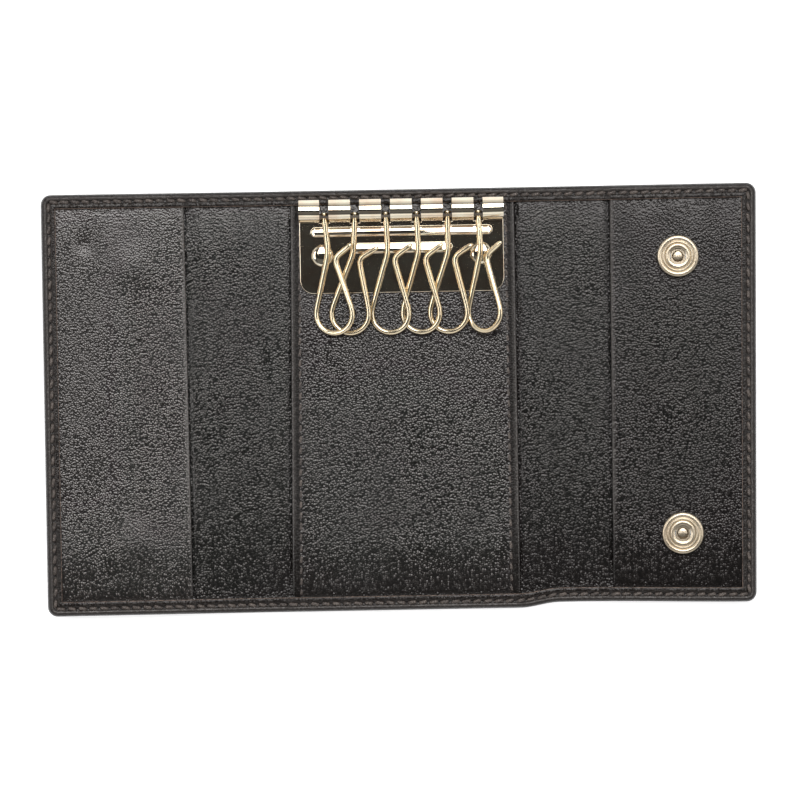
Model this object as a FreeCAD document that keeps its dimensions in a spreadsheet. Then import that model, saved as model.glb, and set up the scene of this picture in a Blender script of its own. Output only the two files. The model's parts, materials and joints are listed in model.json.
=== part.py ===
import FreeCAD, Part
import math
import os
import Sketcher

Vector = FreeCAD.Vector
Placement = FreeCAD.Placement
Rotation = FreeCAD.Rotation

# Driving dimensions of an opened tri-fold leather key case, in millimetres and degrees.
# The origin is the middle of the centre panel's underside: X to the right, Y towards the hook plate, Z up.
SIZES = {
    # leather body
    "case_height": 105.0,
    "outer_leather": 1.0,
    "lining_leather": 0.6,
    "panel_leather": 0.7,
    "turned_edge": 0.6,
    "rim_width": 3.6,
    "corner_radius": 2.5,
    "edge_bevel": 0.5,
    "centre_panel_width": 56.4,
    "seam_tab": 4.5,
    "fold_clearance": 0.3,
    "left_wall": 8.55,
    "left_flap": 52.65,
    "right_flap": 45.75,
    "left_pocket_width": 35.9,
    "right_pocket_width": 36.1,
    # snap fasteners
    "snap_inset": 18.9,
    "snap_spacing": 69.0,
    "snap_clearance": 0.2,
    "hole_clearance": 0.05,
    "socket_width": 10.3,
    "socket_height": 1.9,
    "socket_base": 0.3,
    "socket_ring": 0.5,
    "socket_bevel": 0.25,
    "socket_trench": 0.25,
    "socket_throat": 4.8,
    "socket_chamber": 6.0,
    "socket_lip": 0.15,
    "spring_wire": 0.4,
    "spring_span": 3.9,
    "stud_flange_width": 8.4,
    "stud_flange": 0.5,
    "stud_neck_width": 3.2,
    "stud_neck": 0.95,
    "stud_head_width": 3.8,
    "stud_head": 0.35,
    "stud_head_bevel": 0.2,
    "stud_bore_depth": 1.35,
    "stud_post_width": 2.4,
    "stud_post_flange_width": 8.0,
    "stud_post_flange": 0.4,
    "cap_width": 11.0,
    "cap_dome": 0.9,
    "cap_post_width": 2.9,
    "cap_rivet_width": 4.2,
    "cap_rivet_dome": 0.35,
    # hook plate
    "plate_margin": 2.75,
    "plate_sheet": 0.6,
    "plate_depth": 20.55,
    "plate_corner": 3.4,
    "barrel_width": 5.7,
    "barrel_inset": 5.25,
    "curl_gap_angle": 45.0,
    "ridge_inset": 2.95,
    "ridge_width": 2.0,
    "ridge_drop": 5.2,
    "bar_gap": 4.55,
    "bar_width": 2.2,
    "bar_drop": 9.4,
    "bead_height": 0.6,
    "bead_bevel": 0.45,
    "rivet_inset": 5.7,
    "rivet_drop": 11.05,
    "rivet_head_width": 5.4,
    "rivet_dome": 0.75,
    "rivet_shank": 2.0,
    "rivet_tail_width": 3.4,
    "rivet_tail": 0.25,
    "washer_width": 6.0,
    "washer_thickness": 0.3,
    "washer_clearance": 0.3,
    # key hooks and their pivots
    "hook_pitch": 7.67,
    "slot_width": 2.3,
    "pivot_width": 2.2,
    "pivot_engagement": 1.6,
    "pivot_clearance": 0.05,
    "pivot_lift_angle": 15.0,
    "wire": 1.15,
    "wire_hole_clearance": 0.22,
    "head_clearance": 0.13,
    "hook_head_width": 1.9,
    "hook_head": 0.6,
    "shank_length": 9.5,
    "shank_drift": 0.45,
    "shank_bend": 12.0,
    "loop_radius": 4.8,
    "loop_offset": 0.95,
    "hook_reach": 24.8,
    "neck_offset": 1.9,
    "neck_reach": 10.8,
    "neck_bend": 1.5,
    "tip_length": 4.3,
    "tip_angle": 35.0,
    "tip_bevel": 0.3,
    "hook_rest_gap": 0.1,
}

# How the hooks lie on the panel, from left to right, in degrees: sideways lean, and roll about the shank.
HOOK_LEANS = (2.8, -5.8, -0.4, -0.3, -2.3, 0.8)
HOOK_ROLLS = (17.0, 10.5, 10.5, 12.0, 11.0, 34.0)
HOOK_COUNT = len(HOOK_LEANS)

# Thin wire, small bars, small turned fittings and the ends of the plate's beads are many-sided.
WIRE_SIDES = 6
ROD_SIDES = 10
FITTING_SIDES = 20
BEAD_END_SIDES = 6

# The rings of a dome above its foot, as shares of its width and its height.
DOME_RINGS = ((0.88, 0.6), (0.7, 1.0))
DOME_CROWN = DOME_RINGS[-1][0]

doc = FreeCAD.newDocument("KeyCase")
sheet = doc.addObject("Spreadsheet::Sheet", "Sizes")
for row, (alias, number) in enumerate(SIZES.items(), start=1):
    sheet.set(f"A{row}", alias)
    sheet.set(f"B{row}", str(number))
    sheet.setAlias(f"B{row}", alias)
doc.recompute()

# Formulas that several pieces share. Heights count from the ground, where the centre lies.
FOLD = "(Sizes.centre_panel_width / 2 + Sizes.fold_clearance)"
LINING_TOP = "(Sizes.outer_leather + Sizes.lining_leather)"
FOLD_HEIGHT = f"({LINING_TOP} + Sizes.turned_edge)"
PANEL_TOP = f"({LINING_TOP} + Sizes.panel_leather)"
PLATE_TOP = f"({PANEL_TOP} + Sizes.plate_sheet)"
INNER_HEIGHT = "(Sizes.case_height - 2 * Sizes.rim_width)"
BARREL_Y = "(Sizes.case_height / 2 - Sizes.barrel_inset)"
RIVET_Y = f"({BARREL_Y} - Sizes.rivet_drop)"
BORE = "(Sizes.barrel_width / 2 - Sizes.plate_sheet)"

# When the case is closed the right flap lies over the left one, and the snaps meet: the right wall is taller
# by the left flap's leather and the closed snaps, and the studs are as far round as the sockets.
SNAP_GAP = "(Sizes.socket_height + Sizes.stud_flange + Sizes.snap_clearance)"
RIGHT_WALL = f"(Sizes.left_wall + {PANEL_TOP} + {SNAP_GAP})"
SOCKET_REACH = "(Sizes.right_flap - Sizes.snap_inset)"
STUD_REACH = f"(2 * {FOLD} - {SOCKET_REACH})"
STUD_DROP = "(Sizes.stud_flange + Sizes.stud_neck + Sizes.stud_head)"
SNAP_ROWS = {"upper": "Sizes.snap_spacing / 2", "lower": "-Sizes.snap_spacing / 2"}
STUD_HOLE = "(Sizes.stud_post_width + 2 * Sizes.hole_clearance)"
CAP_HOLE = "(Sizes.cap_post_width + 2 * Sizes.hole_clearance)"

# The hook plate fills the panel's width but for a margin, and its lower bead fits between its rivets.
PLATE_WIDTH = "(Sizes.centre_panel_width - 2 * Sizes.plate_margin)"
RIVET_X = f"({PLATE_WIDTH} / 2 - Sizes.rivet_inset)"
RIVET_PLACES = [(f"-{RIVET_X}", RIVET_Y), (RIVET_X, RIVET_Y)]
RIVET_HOLE = "(Sizes.rivet_shank + 2 * Sizes.hole_clearance)"
RIDGE_LENGTH = f"({PLATE_WIDTH} - 2 * Sizes.ridge_inset)"
BAR_LENGTH = f"(2 * ({RIVET_X} - Sizes.rivet_head_width / 2 - Sizes.bar_gap))"

# A punch starts well below the leather and ends well above it.
PUNCH_START = f"-{PANEL_TOP}"
PUNCH_LENGTH = f"(3 * {PANEL_TOP})"

TOUCH = 1e-6
AXIS_X = Vector(1, 0, 0)
AXIS_Y = Vector(0, 1, 0)
AXIS_Z = Vector(0, 0, 1)

nodes = []


def value(formula):
    """The number that a formula of sheet cells gives."""
    return float(sheet.evalExpression(formula))


def bind(item, formulas):
    """Tie properties of an object to formulas of sheet cells."""
    for name, formula in formulas.items():
        item.setExpression(name, formula)


def place(item, x="0", y="0", z="0"):
    bind(item, {"Placement.Base.x": x, "Placement.Base.y": y, "Placement.Base.z": z})


def moved(x=0.0, y=0.0, z=0.0):
    return Placement(Vector(x, y, z), Rotation())


def spun(axis, degrees):
    return Placement(Vector(), Rotation(axis, degrees))


def node(item, label, placement=None):
    """Name a finished sub-part, and put it in its place."""
    item.Label = label
    if placement is not None:
        item.Placement = placement
    nodes.append(item)


# Plain solids and their combinations


def block(name, length, width, height, x="0", y="0", z="0"):
    item = doc.addObject("Part::Box", name)
    bind(item, {"Length": length, "Width": width, "Height": height})
    place(item, x, y, z)
    return item


def rod(name, width, height, x="0", y="0", z="0", across_flats=False):
    """A small many-sided bar; its width is over the corners, or across the flats where it punches a hole."""
    item = doc.addObject("Part::Prism", name)
    item.Polygon = ROD_SIDES
    share = f"cos(180 / {ROD_SIDES})" if across_flats else "1"
    bind(item, {"Circumradius": f"({width}) / 2 / {share}", "Height": height})
    place(item, x, y, z)
    return item


def fitting(name, rings):
    """A small turned fitting with many sides, through rings given as pairs of width and height."""
    sections = []
    for count, (width, height) in enumerate(rings, start=1):
        ring = doc.addObject("Part::RegularPolygon", f"{name}_ring_{count}")
        ring.Polygon = FITTING_SIDES
        bind(ring, {"Circumradius": f"({width}) / 2"})
        place(ring, z=height)
        sections.append(ring)
    item = doc.addObject("Part::Loft", name)
    item.Sections = sections
    item.Solid = True
    item.Ruled = True
    return item


def dome(name, width, height, z="0", up=True):
    """A low dome with a flat crown, whose foot is at z."""
    sign = "+" if up else "-"
    rings = [(f"{width} * {share}", f"{z} {sign} {height} * {rise}") for share, rise in DOME_RINGS]
    return fitting(name, [(width, z)] + rings)


def cut(name, base, tools):
    for count, tool in enumerate(tools, start=1):
        item = doc.addObject("Part::Cut", f"{name}_cut_{count}")
        item.Base = base
        item.Tool = tool
        base = item
    return base


def fuse(name, members):
    item = doc.addObject("Part::MultiFuse", name)
    item.Shapes = members
    return item


def group(name, members):
    item = doc.addObject("Part::Compound", name)
    item.Links = members
    return item


def dressed(kind, name, base, size, chosen):
    """Fillet or chamfer the edges of a solid that the test named chosen picks out."""
    doc.recompute()
    item = doc.addObject(f"Part::{kind}", name)
    item.Base = base
    edges = enumerate(base.Shape.Edges, start=1)
    item.Edges = [(count, size, size) for count, edge in edges if chosen(edge)]
    return item


# Sketches and bodies


def new_sketch(body, role, name):
    """A sketch on one of the body's own origin planes."""
    sketch = body.newObject("Sketcher::SketchObject", name)
    plane = next(item for item in body.Origin.OriginFeatures if item.Role == role)
    sketch.AttachmentSupport = [(plane, "")]
    sketch.MapMode = "FlatFace"
    return sketch


def pin(sketch, geometry, end, x, y):
    """Hold a point of a sketch at sheet-driven distances from the origin."""
    for kind, axis, formula in (("DistanceX", -2, x), ("DistanceY", -1, y)):
        reading = value(formula)
        if abs(reading) < TOUCH:
            sketch.addConstraint(Sketcher.Constraint("PointOnObject", geometry, end, axis))
            continue
        count = sketch.addConstraint(Sketcher.Constraint(kind, -1, 1, geometry, end, reading))
        sketch.setExpression(f"Constraints[{count}]", formula)


def hold_radius(sketch, geometry, formula):
    count = sketch.addConstraint(Sketcher.Constraint("Radius", geometry, value(formula)))
    sketch.setExpression(f"Constraints[{count}]", formula)


def polygon(sketch, corners):
    """An outline of straight sides, the only one in its sketch, each corner held by a pair of formulas."""
    points = [Vector(value(x), value(y), 0) for x, y in corners]
    following = points[1:] + points[:1]
    for start, end in zip(points, following):
        sketch.addGeometry(Part.LineSegment(start, end))
    for side in range(len(points)):
        after = (side + 1) % len(points)
        sketch.addConstraint(Sketcher.Constraint("Coincident", side, 2, after, 1))
    for side, (x, y) in enumerate(corners):
        pin(sketch, side, 1, x, y)


def obround(sketch, length, width, y):
    """A slot-shaped outline along X, centred on the sketch's Y axis, with many-sided ends."""
    half = f"{width} / 2"
    reach = f"({length} - {width}) / 2"
    turns = [180 * step / BEAD_END_SIDES - 90 for step in range(BEAD_END_SIDES + 1)]
    right = [(f"{reach} + {half} * cos({turn})", f"{y} + {half} * sin({turn})") for turn in turns]
    left = [(f"-{reach} - {half} * cos({turn})", f"{y} - {half} * sin({turn})") for turn in turns]
    polygon(sketch, right + left)


def turned(name, corners):
    """A body of revolution about its Z axis, from (radius, height) corners."""
    body = doc.addObject("PartDesign::Body", name)
    sketch = new_sketch(body, "XZ_Plane", f"{name}_profile")
    polygon(sketch, corners)
    turn = body.newObject("PartDesign::Revolution", f"{name}_turn")
    turn.Profile = sketch
    turn.ReferenceAxis = (sketch, ["V_Axis"])
    turn.Angle = 360
    return body


def pad(body, sketch, name, length, symmetric=False):
    item = body.newObject("PartDesign::Pad", name)
    item.Profile = sketch
    item.SideType = "Symmetric" if symmetric else "One side"
    item.setExpression("Length", length)
    return item


def through_pocket(body, sketch, name):
    """A pocket right through the body, both ways from its sketch."""
    item = body.newObject("PartDesign::Pocket", name)
    item.Profile = sketch
    item.SideType = "Symmetric"
    item.Type = "ThroughAll"
    return item


def dress_up(kind, body, base, name, size, chosen):
    """A fillet or chamfer on the edges of a body's latest feature that the test named chosen picks out."""
    doc.recompute()
    edges = enumerate(base.Shape.Edges, start=1)
    item = body.newObject(f"PartDesign::{kind}", name)
    item.Base = (base, [f"Edge{count}" for count, edge in edges if chosen(edge)])
    item.setExpression("Radius" if kind == "Fillet" else "Size", size)
    return item


# Where the side pieces lie


def rest_tilt(reach, drop):
    """The lift of a flap, in degrees, that sets a foot on the ground: reach is the foot's distance from the
    fold, and drop how far it stands out of the leather."""
    fold_height = value(FOLD_HEIGHT)
    depth = fold_height + value(drop)
    arm = math.hypot(value(reach), depth)
    return math.degrees(math.atan2(depth, value(reach)) - math.asin(fold_height / arm))


def flap_place(side, wall, tilt):
    """The place of a flap's own frame: X away from its fold, Z up from its outer face."""
    fold_height = value(FOLD_HEIGHT)
    fold = moved(value(f"{FOLD} + {wall}"), 0, fold_height)
    return side * fold * spun(AXIS_Y, -tilt) * moved(z=-fold_height)


STUD_FOOT = f"({STUD_REACH} - Sizes.stud_head_width / 2 + Sizes.stud_head_bevel)"
CAP_FOOT = f"({SOCKET_REACH} - Sizes.cap_width / 2 * {DOME_CROWN})"
LEFT_TILT = rest_tilt(STUD_FOOT, STUD_DROP)
RIGHT_TILT = rest_tilt(CAP_FOOT, "Sizes.cap_dome")
RIGHT_SIDE = moved()
LEFT_SIDE = spun(AXIS_Z, 180)
LEFT_FLAP = flap_place(LEFT_SIDE, "Sizes.left_wall", LEFT_TILT)
RIGHT_FLAP = flap_place(RIGHT_SIDE, RIGHT_WALL, RIGHT_TILT)


# Leather: an outer sheet whose edge is turned over the lining, and the panels sewn inside


def leather_tray(name, length, outer_end=False):
    """One stretch of the outer leather with its turned edges, along X from a fold line."""
    reach = value(length)
    side = value("Sizes.case_height / 2")
    corner = value("Sizes.corner_radius")

    def far_corner(edge):
        return edge.BoundBox.ZLength > TOUCH and edge.BoundBox.XMin > reach - TOUCH

    def border(edge):
        box = edge.BoundBox
        if box.ZLength > TOUCH:
            return False
        along_side = min(abs(box.YMin), abs(box.YMax)) > side - TOUCH
        along_end = outer_end and box.XMin > reach - TOUCH
        round_corner = isinstance(edge.Curve, Part.Circle) and abs(edge.Curve.Radius - corner) < TOUCH
        return along_side or along_end or round_corner

    tray = block(f"{name}_blank", length, "Sizes.case_height", FOLD_HEIGHT, y="-Sizes.case_height / 2")
    if outer_end:
        tray = dressed("Fillet", f"{name}_corners", tray, corner, far_corner)
    recess_length = f"{length} - Sizes.rim_width" if outer_end else length
    recess = leather_sheet(f"{name}_recess", recess_length, FOLD_HEIGHT, z="Sizes.outer_leather")
    tray = cut(name, tray, [recess])
    return dressed("Chamfer", f"{name}_edges", tray, value("Sizes.edge_bevel"), border)


def leather_sheet(name, length, thickness, x="0", z="0"):
    """A flat piece that fills the height between the turned edges."""
    return block(name, length, INNER_HEIGHT, thickness, x, f"-{INNER_HEIGHT} / 2", z)


def punches(name, width, places):
    """Rods that punch holes through the leather at the places given as pairs of formulas."""
    return [
        rod(f"{name}_punch_{count}", width, PUNCH_LENGTH, x, y, PUNCH_START, across_flats=True)
        for count, (x, y) in enumerate(places, start=1)
    ]


def centre_leather():
    """The middle third: outer leather, board and lining tabs, and the centre panel sewn over them."""
    node(leather_tray("centre_tray", f"2 * {FOLD}"), "outer_leather_centre", moved(-value(FOLD)))
    half_board = f"({FOLD} - Sizes.seam_tab)"
    lining = "Sizes.lining_leather"
    level = "Sizes.outer_leather"
    board = leather_sheet("board", f"2 * {half_board}", lining, f"-{half_board}", level)
    board_hole = "Sizes.washer_width + 2 * Sizes.washer_clearance"
    node(cut("board", board, punches("board", board_hole, RIVET_PLACES)), "centre_stiffener")
    tabs = [
        leather_sheet(f"{name}_tab", "Sizes.seam_tab", lining, x, level)
        for name, x in (("left", f"-{FOLD}"), ("right", half_board))
    ]
    node(group("tabs", tabs), "lining_seam_tabs")
    width = "Sizes.centre_panel_width"
    panel = leather_sheet("panel", width, "Sizes.panel_leather", f"-{width} / 2", LINING_TOP)
    node(cut("panel", panel, punches("panel", RIVET_HOLE, RIVET_PLACES)), "centre_panel")


def wall_leather(name, side, wall):
    """The strip between the two fold lines of one side: outer leather and lining."""
    spot = side * moved(value(FOLD))
    node(leather_tray(f"{name}_wall_tray", wall), f"outer_leather_{name}_wall", spot)
    lining = leather_sheet(f"{name}_wall_sheet", wall, "Sizes.lining_leather", z="Sizes.outer_leather")
    node(group(f"{name}_wall_lining", [lining]), f"lining_{name}_wall", spot)


def flap_leather(name, spot, length, pocket, reach, holes):
    """One flap: outer leather, lining, and the pocket panel over its outer part, with the snaps' holes."""
    snaps = [(reach, y) for y in SNAP_ROWS.values()]
    tray = leather_tray(f"{name}_flap_tray", length, outer_end=True)
    tray = cut(f"{name}_flap_outer", tray, punches(f"{name}_outer", holes["outer"], snaps))
    node(tray, f"outer_leather_{name}_flap", spot)
    inner = f"{length} - Sizes.rim_width"
    lining = leather_sheet(f"{name}_flap_sheet", inner, "Sizes.lining_leather", z="Sizes.outer_leather")
    lining = cut(f"{name}_flap_lining", lining, punches(f"{name}_lining", holes["lining"], snaps))
    node(lining, f"lining_{name}_flap", spot)
    mouth = f"{length} - {pocket}"
    panel = leather_sheet(
        f"{name}_pocket", f"{pocket} - Sizes.rim_width", "Sizes.panel_leather", mouth, LINING_TOP
    )
    if "panel" in holes:
        panel = cut(f"{name}_pocket", panel, punches(f"{name}_panel", holes["panel"], snaps))
    node(group(f"{name}_pocket_sheet", [panel]), f"{name}_pocket_panel", spot)


# Snap fasteners: studs outside the left flap, sockets inside the right flap


def stud(name):
    """The ball-headed half of a snap, standing on its flange, with a bore for its post."""
    flange = "Sizes.stud_flange"
    neck = "Sizes.stud_neck_width"
    head = "Sizes.stud_head_width"
    bevel = "Sizes.stud_head_bevel"
    flange_rings = [
        ("Sizes.stud_flange_width", "0"),
        (f"Sizes.stud_flange_width - {flange}", flange),
    ]
    ball_rings = [
        (neck, "0"),
        (neck, f"{flange} + Sizes.stud_neck"),
        (head, f"{STUD_DROP} - {bevel}"),
        (f"{head} - 2 * {bevel}", STUD_DROP),
    ]
    blank = [fitting(f"{name}_flange", flange_rings), fitting(f"{name}_ball", ball_rings)]
    bore = rod(f"{name}_bore", STUD_HOLE, "Sizes.stud_bore_depth", across_flats=True)
    return cut(name, fuse(f"{name}_blank", blank), [bore])


def stud_post(name):
    """The hidden rivet of a stud: a flange on the outer leather's inside, and a shank down into the stud."""
    shank = "(Sizes.outer_leather + Sizes.stud_bore_depth - Sizes.hole_clearance)"
    flange_disc = rod(f"{name}_flange", "Sizes.stud_post_flange_width", "Sizes.stud_post_flange")
    shank_rod = rod(f"{name}_shank", "Sizes.stud_post_width", shank, z=f"-{shank}")
    return fuse(name, [flange_disc, shank_rod])


def socket(name):
    """The ringed half of a snap, with a chamber under its throat for the spring wires."""
    top = "Sizes.socket_height"
    edge = "Sizes.socket_width / 2"
    throat = "Sizes.socket_throat / 2"
    chamber = "Sizes.socket_chamber / 2"
    chamber_top = f"{top} - Sizes.socket_lip"
    # Each step of the rings goes inward by a width, to a depth below the top.
    flat = "Sizes.socket_ring"
    bevel = "Sizes.socket_bevel"
    steps = [(bevel, "0"), (flat, "0"), (flat, "Sizes.socket_trench"), (flat, "0")]
    corners = [("0", "0"), (edge, "0"), (edge, f"{top} - {bevel}")]
    inward = edge
    for width, depth in steps:
        inward = f"{inward} - {width}"
        corners.append((inward, f"{top} - {depth}"))
    corners += [
        (throat, top),
        (throat, chamber_top),
        (chamber, chamber_top),
        (chamber, "Sizes.socket_base"),
        ("0", "Sizes.socket_base"),
    ]
    return cut(name, turned(f"{name}_blank", corners), punches(name, CAP_HOLE, [("0", "0")]))


def spring_wires(name):
    """The two straight wires that lie across a socket's throat and grip the stud's neck."""
    offset = "(Sizes.spring_span / 2)"
    seat = "(Sizes.socket_chamber / 2 - Sizes.hole_clearance)"
    half = f"sqrt({seat} ^ 2 - ({offset} + Sizes.spring_wire / 2) ^ 2)"
    drop = "(Sizes.socket_lip + Sizes.hole_clearance + Sizes.spring_wire / 2)"
    level = f"Sizes.socket_height - {drop}"
    wires = []
    for side, sign in (("inner", "-"), ("outer", "")):
        wire = rod(f"{name}_{side}", "Sizes.spring_wire", f"2 * {half}")
        wire.Placement = spun(AXIS_X, 90)
        place(wire, f"{sign}{offset}", half, level)
        wires.append(wire)
    return group(name, wires)


def cap(name):
    """The domed cap outside the flap, with a post through the leather that is riveted over in the socket."""
    post = f"({PANEL_TOP} + Sizes.socket_base)"
    shell = dome(f"{name}_shell", "Sizes.cap_width", "Sizes.cap_dome", up=False)
    shank = rod(f"{name}_post", "Sizes.cap_post_width", post)
    rivet = dome(f"{name}_rivet", "Sizes.cap_rivet_width", "Sizes.cap_rivet_dome", post)
    return fuse(name, [shell, shank, rivet])


def snap_pair(label, make, flap, reach, level, face_down=False):
    """One kind of snap piece at both rows of a flap."""
    members = []
    for row_name, y in SNAP_ROWS.items():
        item = make(f"{label}_{row_name}")
        spot = moved(value(reach), value(y), value(level))
        item.Placement = flap * spot * spun(AXIS_X, 180 if face_down else 0)
        members.append(item)
    node(group(f"{label}_pair", members), label)


# Hook plate: one stamped sheet whose upper edge is rolled into a barrel and slotted for the hooks


def rolled_profile(sketch):
    """The sheet's section: flat below, then curled up round the barrel until it nearly meets the flat."""
    outer = value("Sizes.barrel_width / 2")
    inner = value(BORE)
    depth = value("Sizes.plate_depth")
    thickness = value("Sizes.plate_sheet")
    start = -math.pi / 2
    end = math.pi + math.radians(value("Sizes.curl_gap_angle"))
    centre = Vector(0, outer, 0)
    outside = Part.ArcOfCircle(Part.Circle(centre, AXIS_Z, outer), start, end)
    inside = Part.ArcOfCircle(Part.Circle(centre, AXIS_Z, inner), start, end)
    floor_line = Part.LineSegment(Vector(-depth, 0, 0), Vector(0, 0, 0))
    lip_line = Part.LineSegment(outside.EndPoint, inside.EndPoint)
    top_line = Part.LineSegment(Vector(0, thickness, 0), Vector(-depth, thickness, 0))
    edge_line = Part.LineSegment(Vector(-depth, thickness, 0), Vector(-depth, 0, 0))
    floor_side, outer_arc, lip, inner_arc, top_side, edge = sketch.addGeometry(
        [floor_line, outside, lip_line, inside, top_line, edge_line]
    )
    joins = [
        (floor_side, 2, outer_arc, 1),
        (outer_arc, 2, lip, 1),
        (lip, 2, inner_arc, 2),
        (inner_arc, 1, top_side, 1),
        (top_side, 2, edge, 1),
        (edge, 2, floor_side, 1),
        (outer_arc, 3, inner_arc, 3),
    ]
    for join in joins:
        sketch.addConstraint(Sketcher.Constraint("Coincident", *join))
    for arc in (outer_arc, inner_arc):
        sketch.addConstraint(Sketcher.Constraint("PointOnObject", arc, 1, -2))
    sketch.addConstraint(Sketcher.Constraint("PointOnObject", outer_arc, 3, lip))
    pin(sketch, outer_arc, 3, "0", "Sizes.barrel_width / 2")
    hold_radius(sketch, outer_arc, "Sizes.barrel_width / 2")
    hold_radius(sketch, inner_arc, BORE)
    pin(sketch, floor_side, 1, "-Sizes.plate_depth", "0")
    pin(sketch, top_side, 2, "-Sizes.plate_depth", "Sizes.plate_sheet")
    slant = math.radians(value("Sizes.curl_gap_angle"))
    gap = sketch.addConstraint(Sketcher.Constraint("Angle", lip, slant))
    sketch.setExpression(f"Constraints[{gap}]", "Sizes.curl_gap_angle * 1 deg")


def hook_plate():
    """The plate's own frame has X along the barrel, Y towards the case's top edge, Z up from the panel."""
    body = doc.addObject("PartDesign::Body", "plate")
    section = new_sketch(body, "YZ_Plane", "plate_section")
    rolled_profile(section)
    sheet_pad = pad(body, section, "plate_pad", PLATE_WIDTH, symmetric=True)
    low_edge = -value("Sizes.plate_depth")

    def low_corner(edge):
        box = edge.BoundBox
        return box.ZLength > TOUCH and box.XLength < TOUCH and box.YMax < low_edge + TOUCH

    dress_up("Fillet", body, sheet_pad, "plate_corners", "Sizes.plate_corner", low_corner)
    for name, length, width, drop in (
        ("ridge", RIDGE_LENGTH, "Sizes.ridge_width", "Sizes.ridge_drop"),
        ("bar", BAR_LENGTH, "Sizes.bar_width", "Sizes.bar_drop"),
    ):
        outline = new_sketch(body, "XY_Plane", f"{name}_outline")
        obround(outline, length, width, f"-{drop}")
        bead = pad(body, outline, f"{name}_bead", "Sizes.plate_sheet + Sizes.bead_height")
        crest = value("Sizes.plate_sheet + Sizes.bead_height")
        middle = -value(drop)
        reach = value(width)

        def crest_edge(edge):
            box = edge.BoundBox
            level = abs(box.ZMin - crest) < TOUCH and box.ZLength < TOUCH
            return level and abs(box.YMin - middle) < reach and abs(box.YMax - middle) < reach

        dress_up("Chamfer", body, bead, f"{name}_crest", "Sizes.bead_bevel", crest_edge)
    slot = new_sketch(body, "XY_Plane", "slot_outline")
    first = f"{HOOK_COUNT - 1} / 2 * Sizes.hook_pitch"
    left = f"-({first} + Sizes.slot_width / 2)"
    right = f"-({first} - Sizes.slot_width / 2)"
    root = "-Sizes.barrel_width / 2"
    polygon(slot, [(left, root), (right, root), (right, "Sizes.barrel_width"), (left, "Sizes.barrel_width")])
    slot_pocket = through_pocket(body, slot, "slot_pocket")
    pattern = body.newObject("PartDesign::LinearPattern", "slots")
    pattern.Originals = [slot_pocket]
    pattern.Direction = (slot, ["H_Axis"])
    pattern.Occurrences = HOOK_COUNT
    pattern.setExpression("Length", f"{HOOK_COUNT - 1} * Sizes.hook_pitch")
    body.Tip = pattern
    place(body, y=BARREL_Y, z=PANEL_TOP)
    node(cut("plate", body, punches("plate", RIVET_HOLE, RIVET_PLACES)), "key_plate")


def plate_rivet(name):
    """A domed rivet through plate and panel, clenched over its washer; its frame is at the plate's top."""
    grip = "(Sizes.plate_sheet + Sizes.panel_leather + Sizes.washer_thickness)"
    head = dome(f"{name}_head", "Sizes.rivet_head_width", "Sizes.rivet_dome")
    shank = rod(f"{name}_shank", "Sizes.rivet_shank", grip, z=f"-{grip}")
    tail = rod(f"{name}_tail", "Sizes.rivet_tail_width", "Sizes.rivet_tail", z=f"-{grip} - Sizes.rivet_tail")
    return fuse(name, [head, shank, tail])


def washer(name):
    """The ring under the panel that a rivet's tail is clenched over."""
    disc = rod(f"{name}_disc", "Sizes.washer_width", "Sizes.washer_thickness")
    return cut(name, disc, punches(name, RIVET_HOLE, [("0", "0")]))


def rivet_pair(label, make, level):
    members = []
    for count, (x, y) in enumerate(RIVET_PLACES, start=1):
        item = make(f"{label}_{count}")
        item.Placement = moved(value(x), value(y), value(level))
        members.append(item)
    node(group(f"{label}_pair", members), label)


# Key hooks: bent spring wire with a nail head that hangs in a pivot across its slot


def tangent_point(point, centre, radius, side):
    """Where the line from a point touches a circle; side is 1 or -1."""
    away = point - centre
    spread = math.acos(radius / away.Length)
    turn = math.atan2(away.y, away.x) + side * spread
    return centre + Vector(math.cos(turn), math.sin(turn), 0) * radius


def bend(before, corner, after, radius):
    """The arc that rounds a corner between two straight runs."""
    back = (before - corner).normalize()
    ahead = (after - corner).normalize()
    half_angle = back.getAngle(ahead) / 2
    trim = radius / math.tan(half_angle)
    middle_line = (back + ahead).normalize()
    crown = corner + middle_line * (radius / math.sin(half_angle) - radius)
    return Part.Arc(corner + back * trim, crown, corner + ahead * trim)


def hook_path():
    """The wire's centre line: shank, bend, loop, gate leg and flared tip, as lines and tangent arcs."""
    top = Vector()
    shank_end = Vector(value("Sizes.shank_drift"), -value("Sizes.shank_length"), 0)
    centre = Vector(value("Sizes.loop_offset"), -value("Sizes.hook_reach"), 0)
    loop_radius = value("Sizes.loop_radius")
    neck = Vector(value("Sizes.neck_offset"), -value("Sizes.neck_reach"), 0)
    tip_turn = math.radians(value("Sizes.tip_angle"))
    tip = neck + Vector(math.cos(tip_turn), math.sin(tip_turn), 0) * value("Sizes.tip_length")
    left = tangent_point(shank_end, centre, loop_radius, 1)
    right = tangent_point(neck, centre, loop_radius, -1)
    lowest = centre - AXIS_Y * loop_radius
    upper_bend = bend(top, shank_end, left, value("Sizes.shank_bend"))
    neck_bend = bend(right, neck, tip, value("Sizes.neck_bend"))
    joints = [top, shank_end, left, right, neck, tip]
    bends = {"upper": upper_bend, "neck": neck_bend, "loop": Part.Arc(left, lowest, right)}
    return joints, bends


def round_corners(width, sides):
    """The corners of a many-sided outline round the origin, none of them on an axis."""
    turns = [360 * (side + 0.5) / sides for side in range(sides)]
    return [(f"{width} / 2 * cos({turn})", f"{width} / 2 * sin({turn})") for turn in turns]


def nearest_end(arc, point):
    ends = (arc.StartPoint, arc.EndPoint)
    return min(ends, key=point.distanceToPoint)


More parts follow.
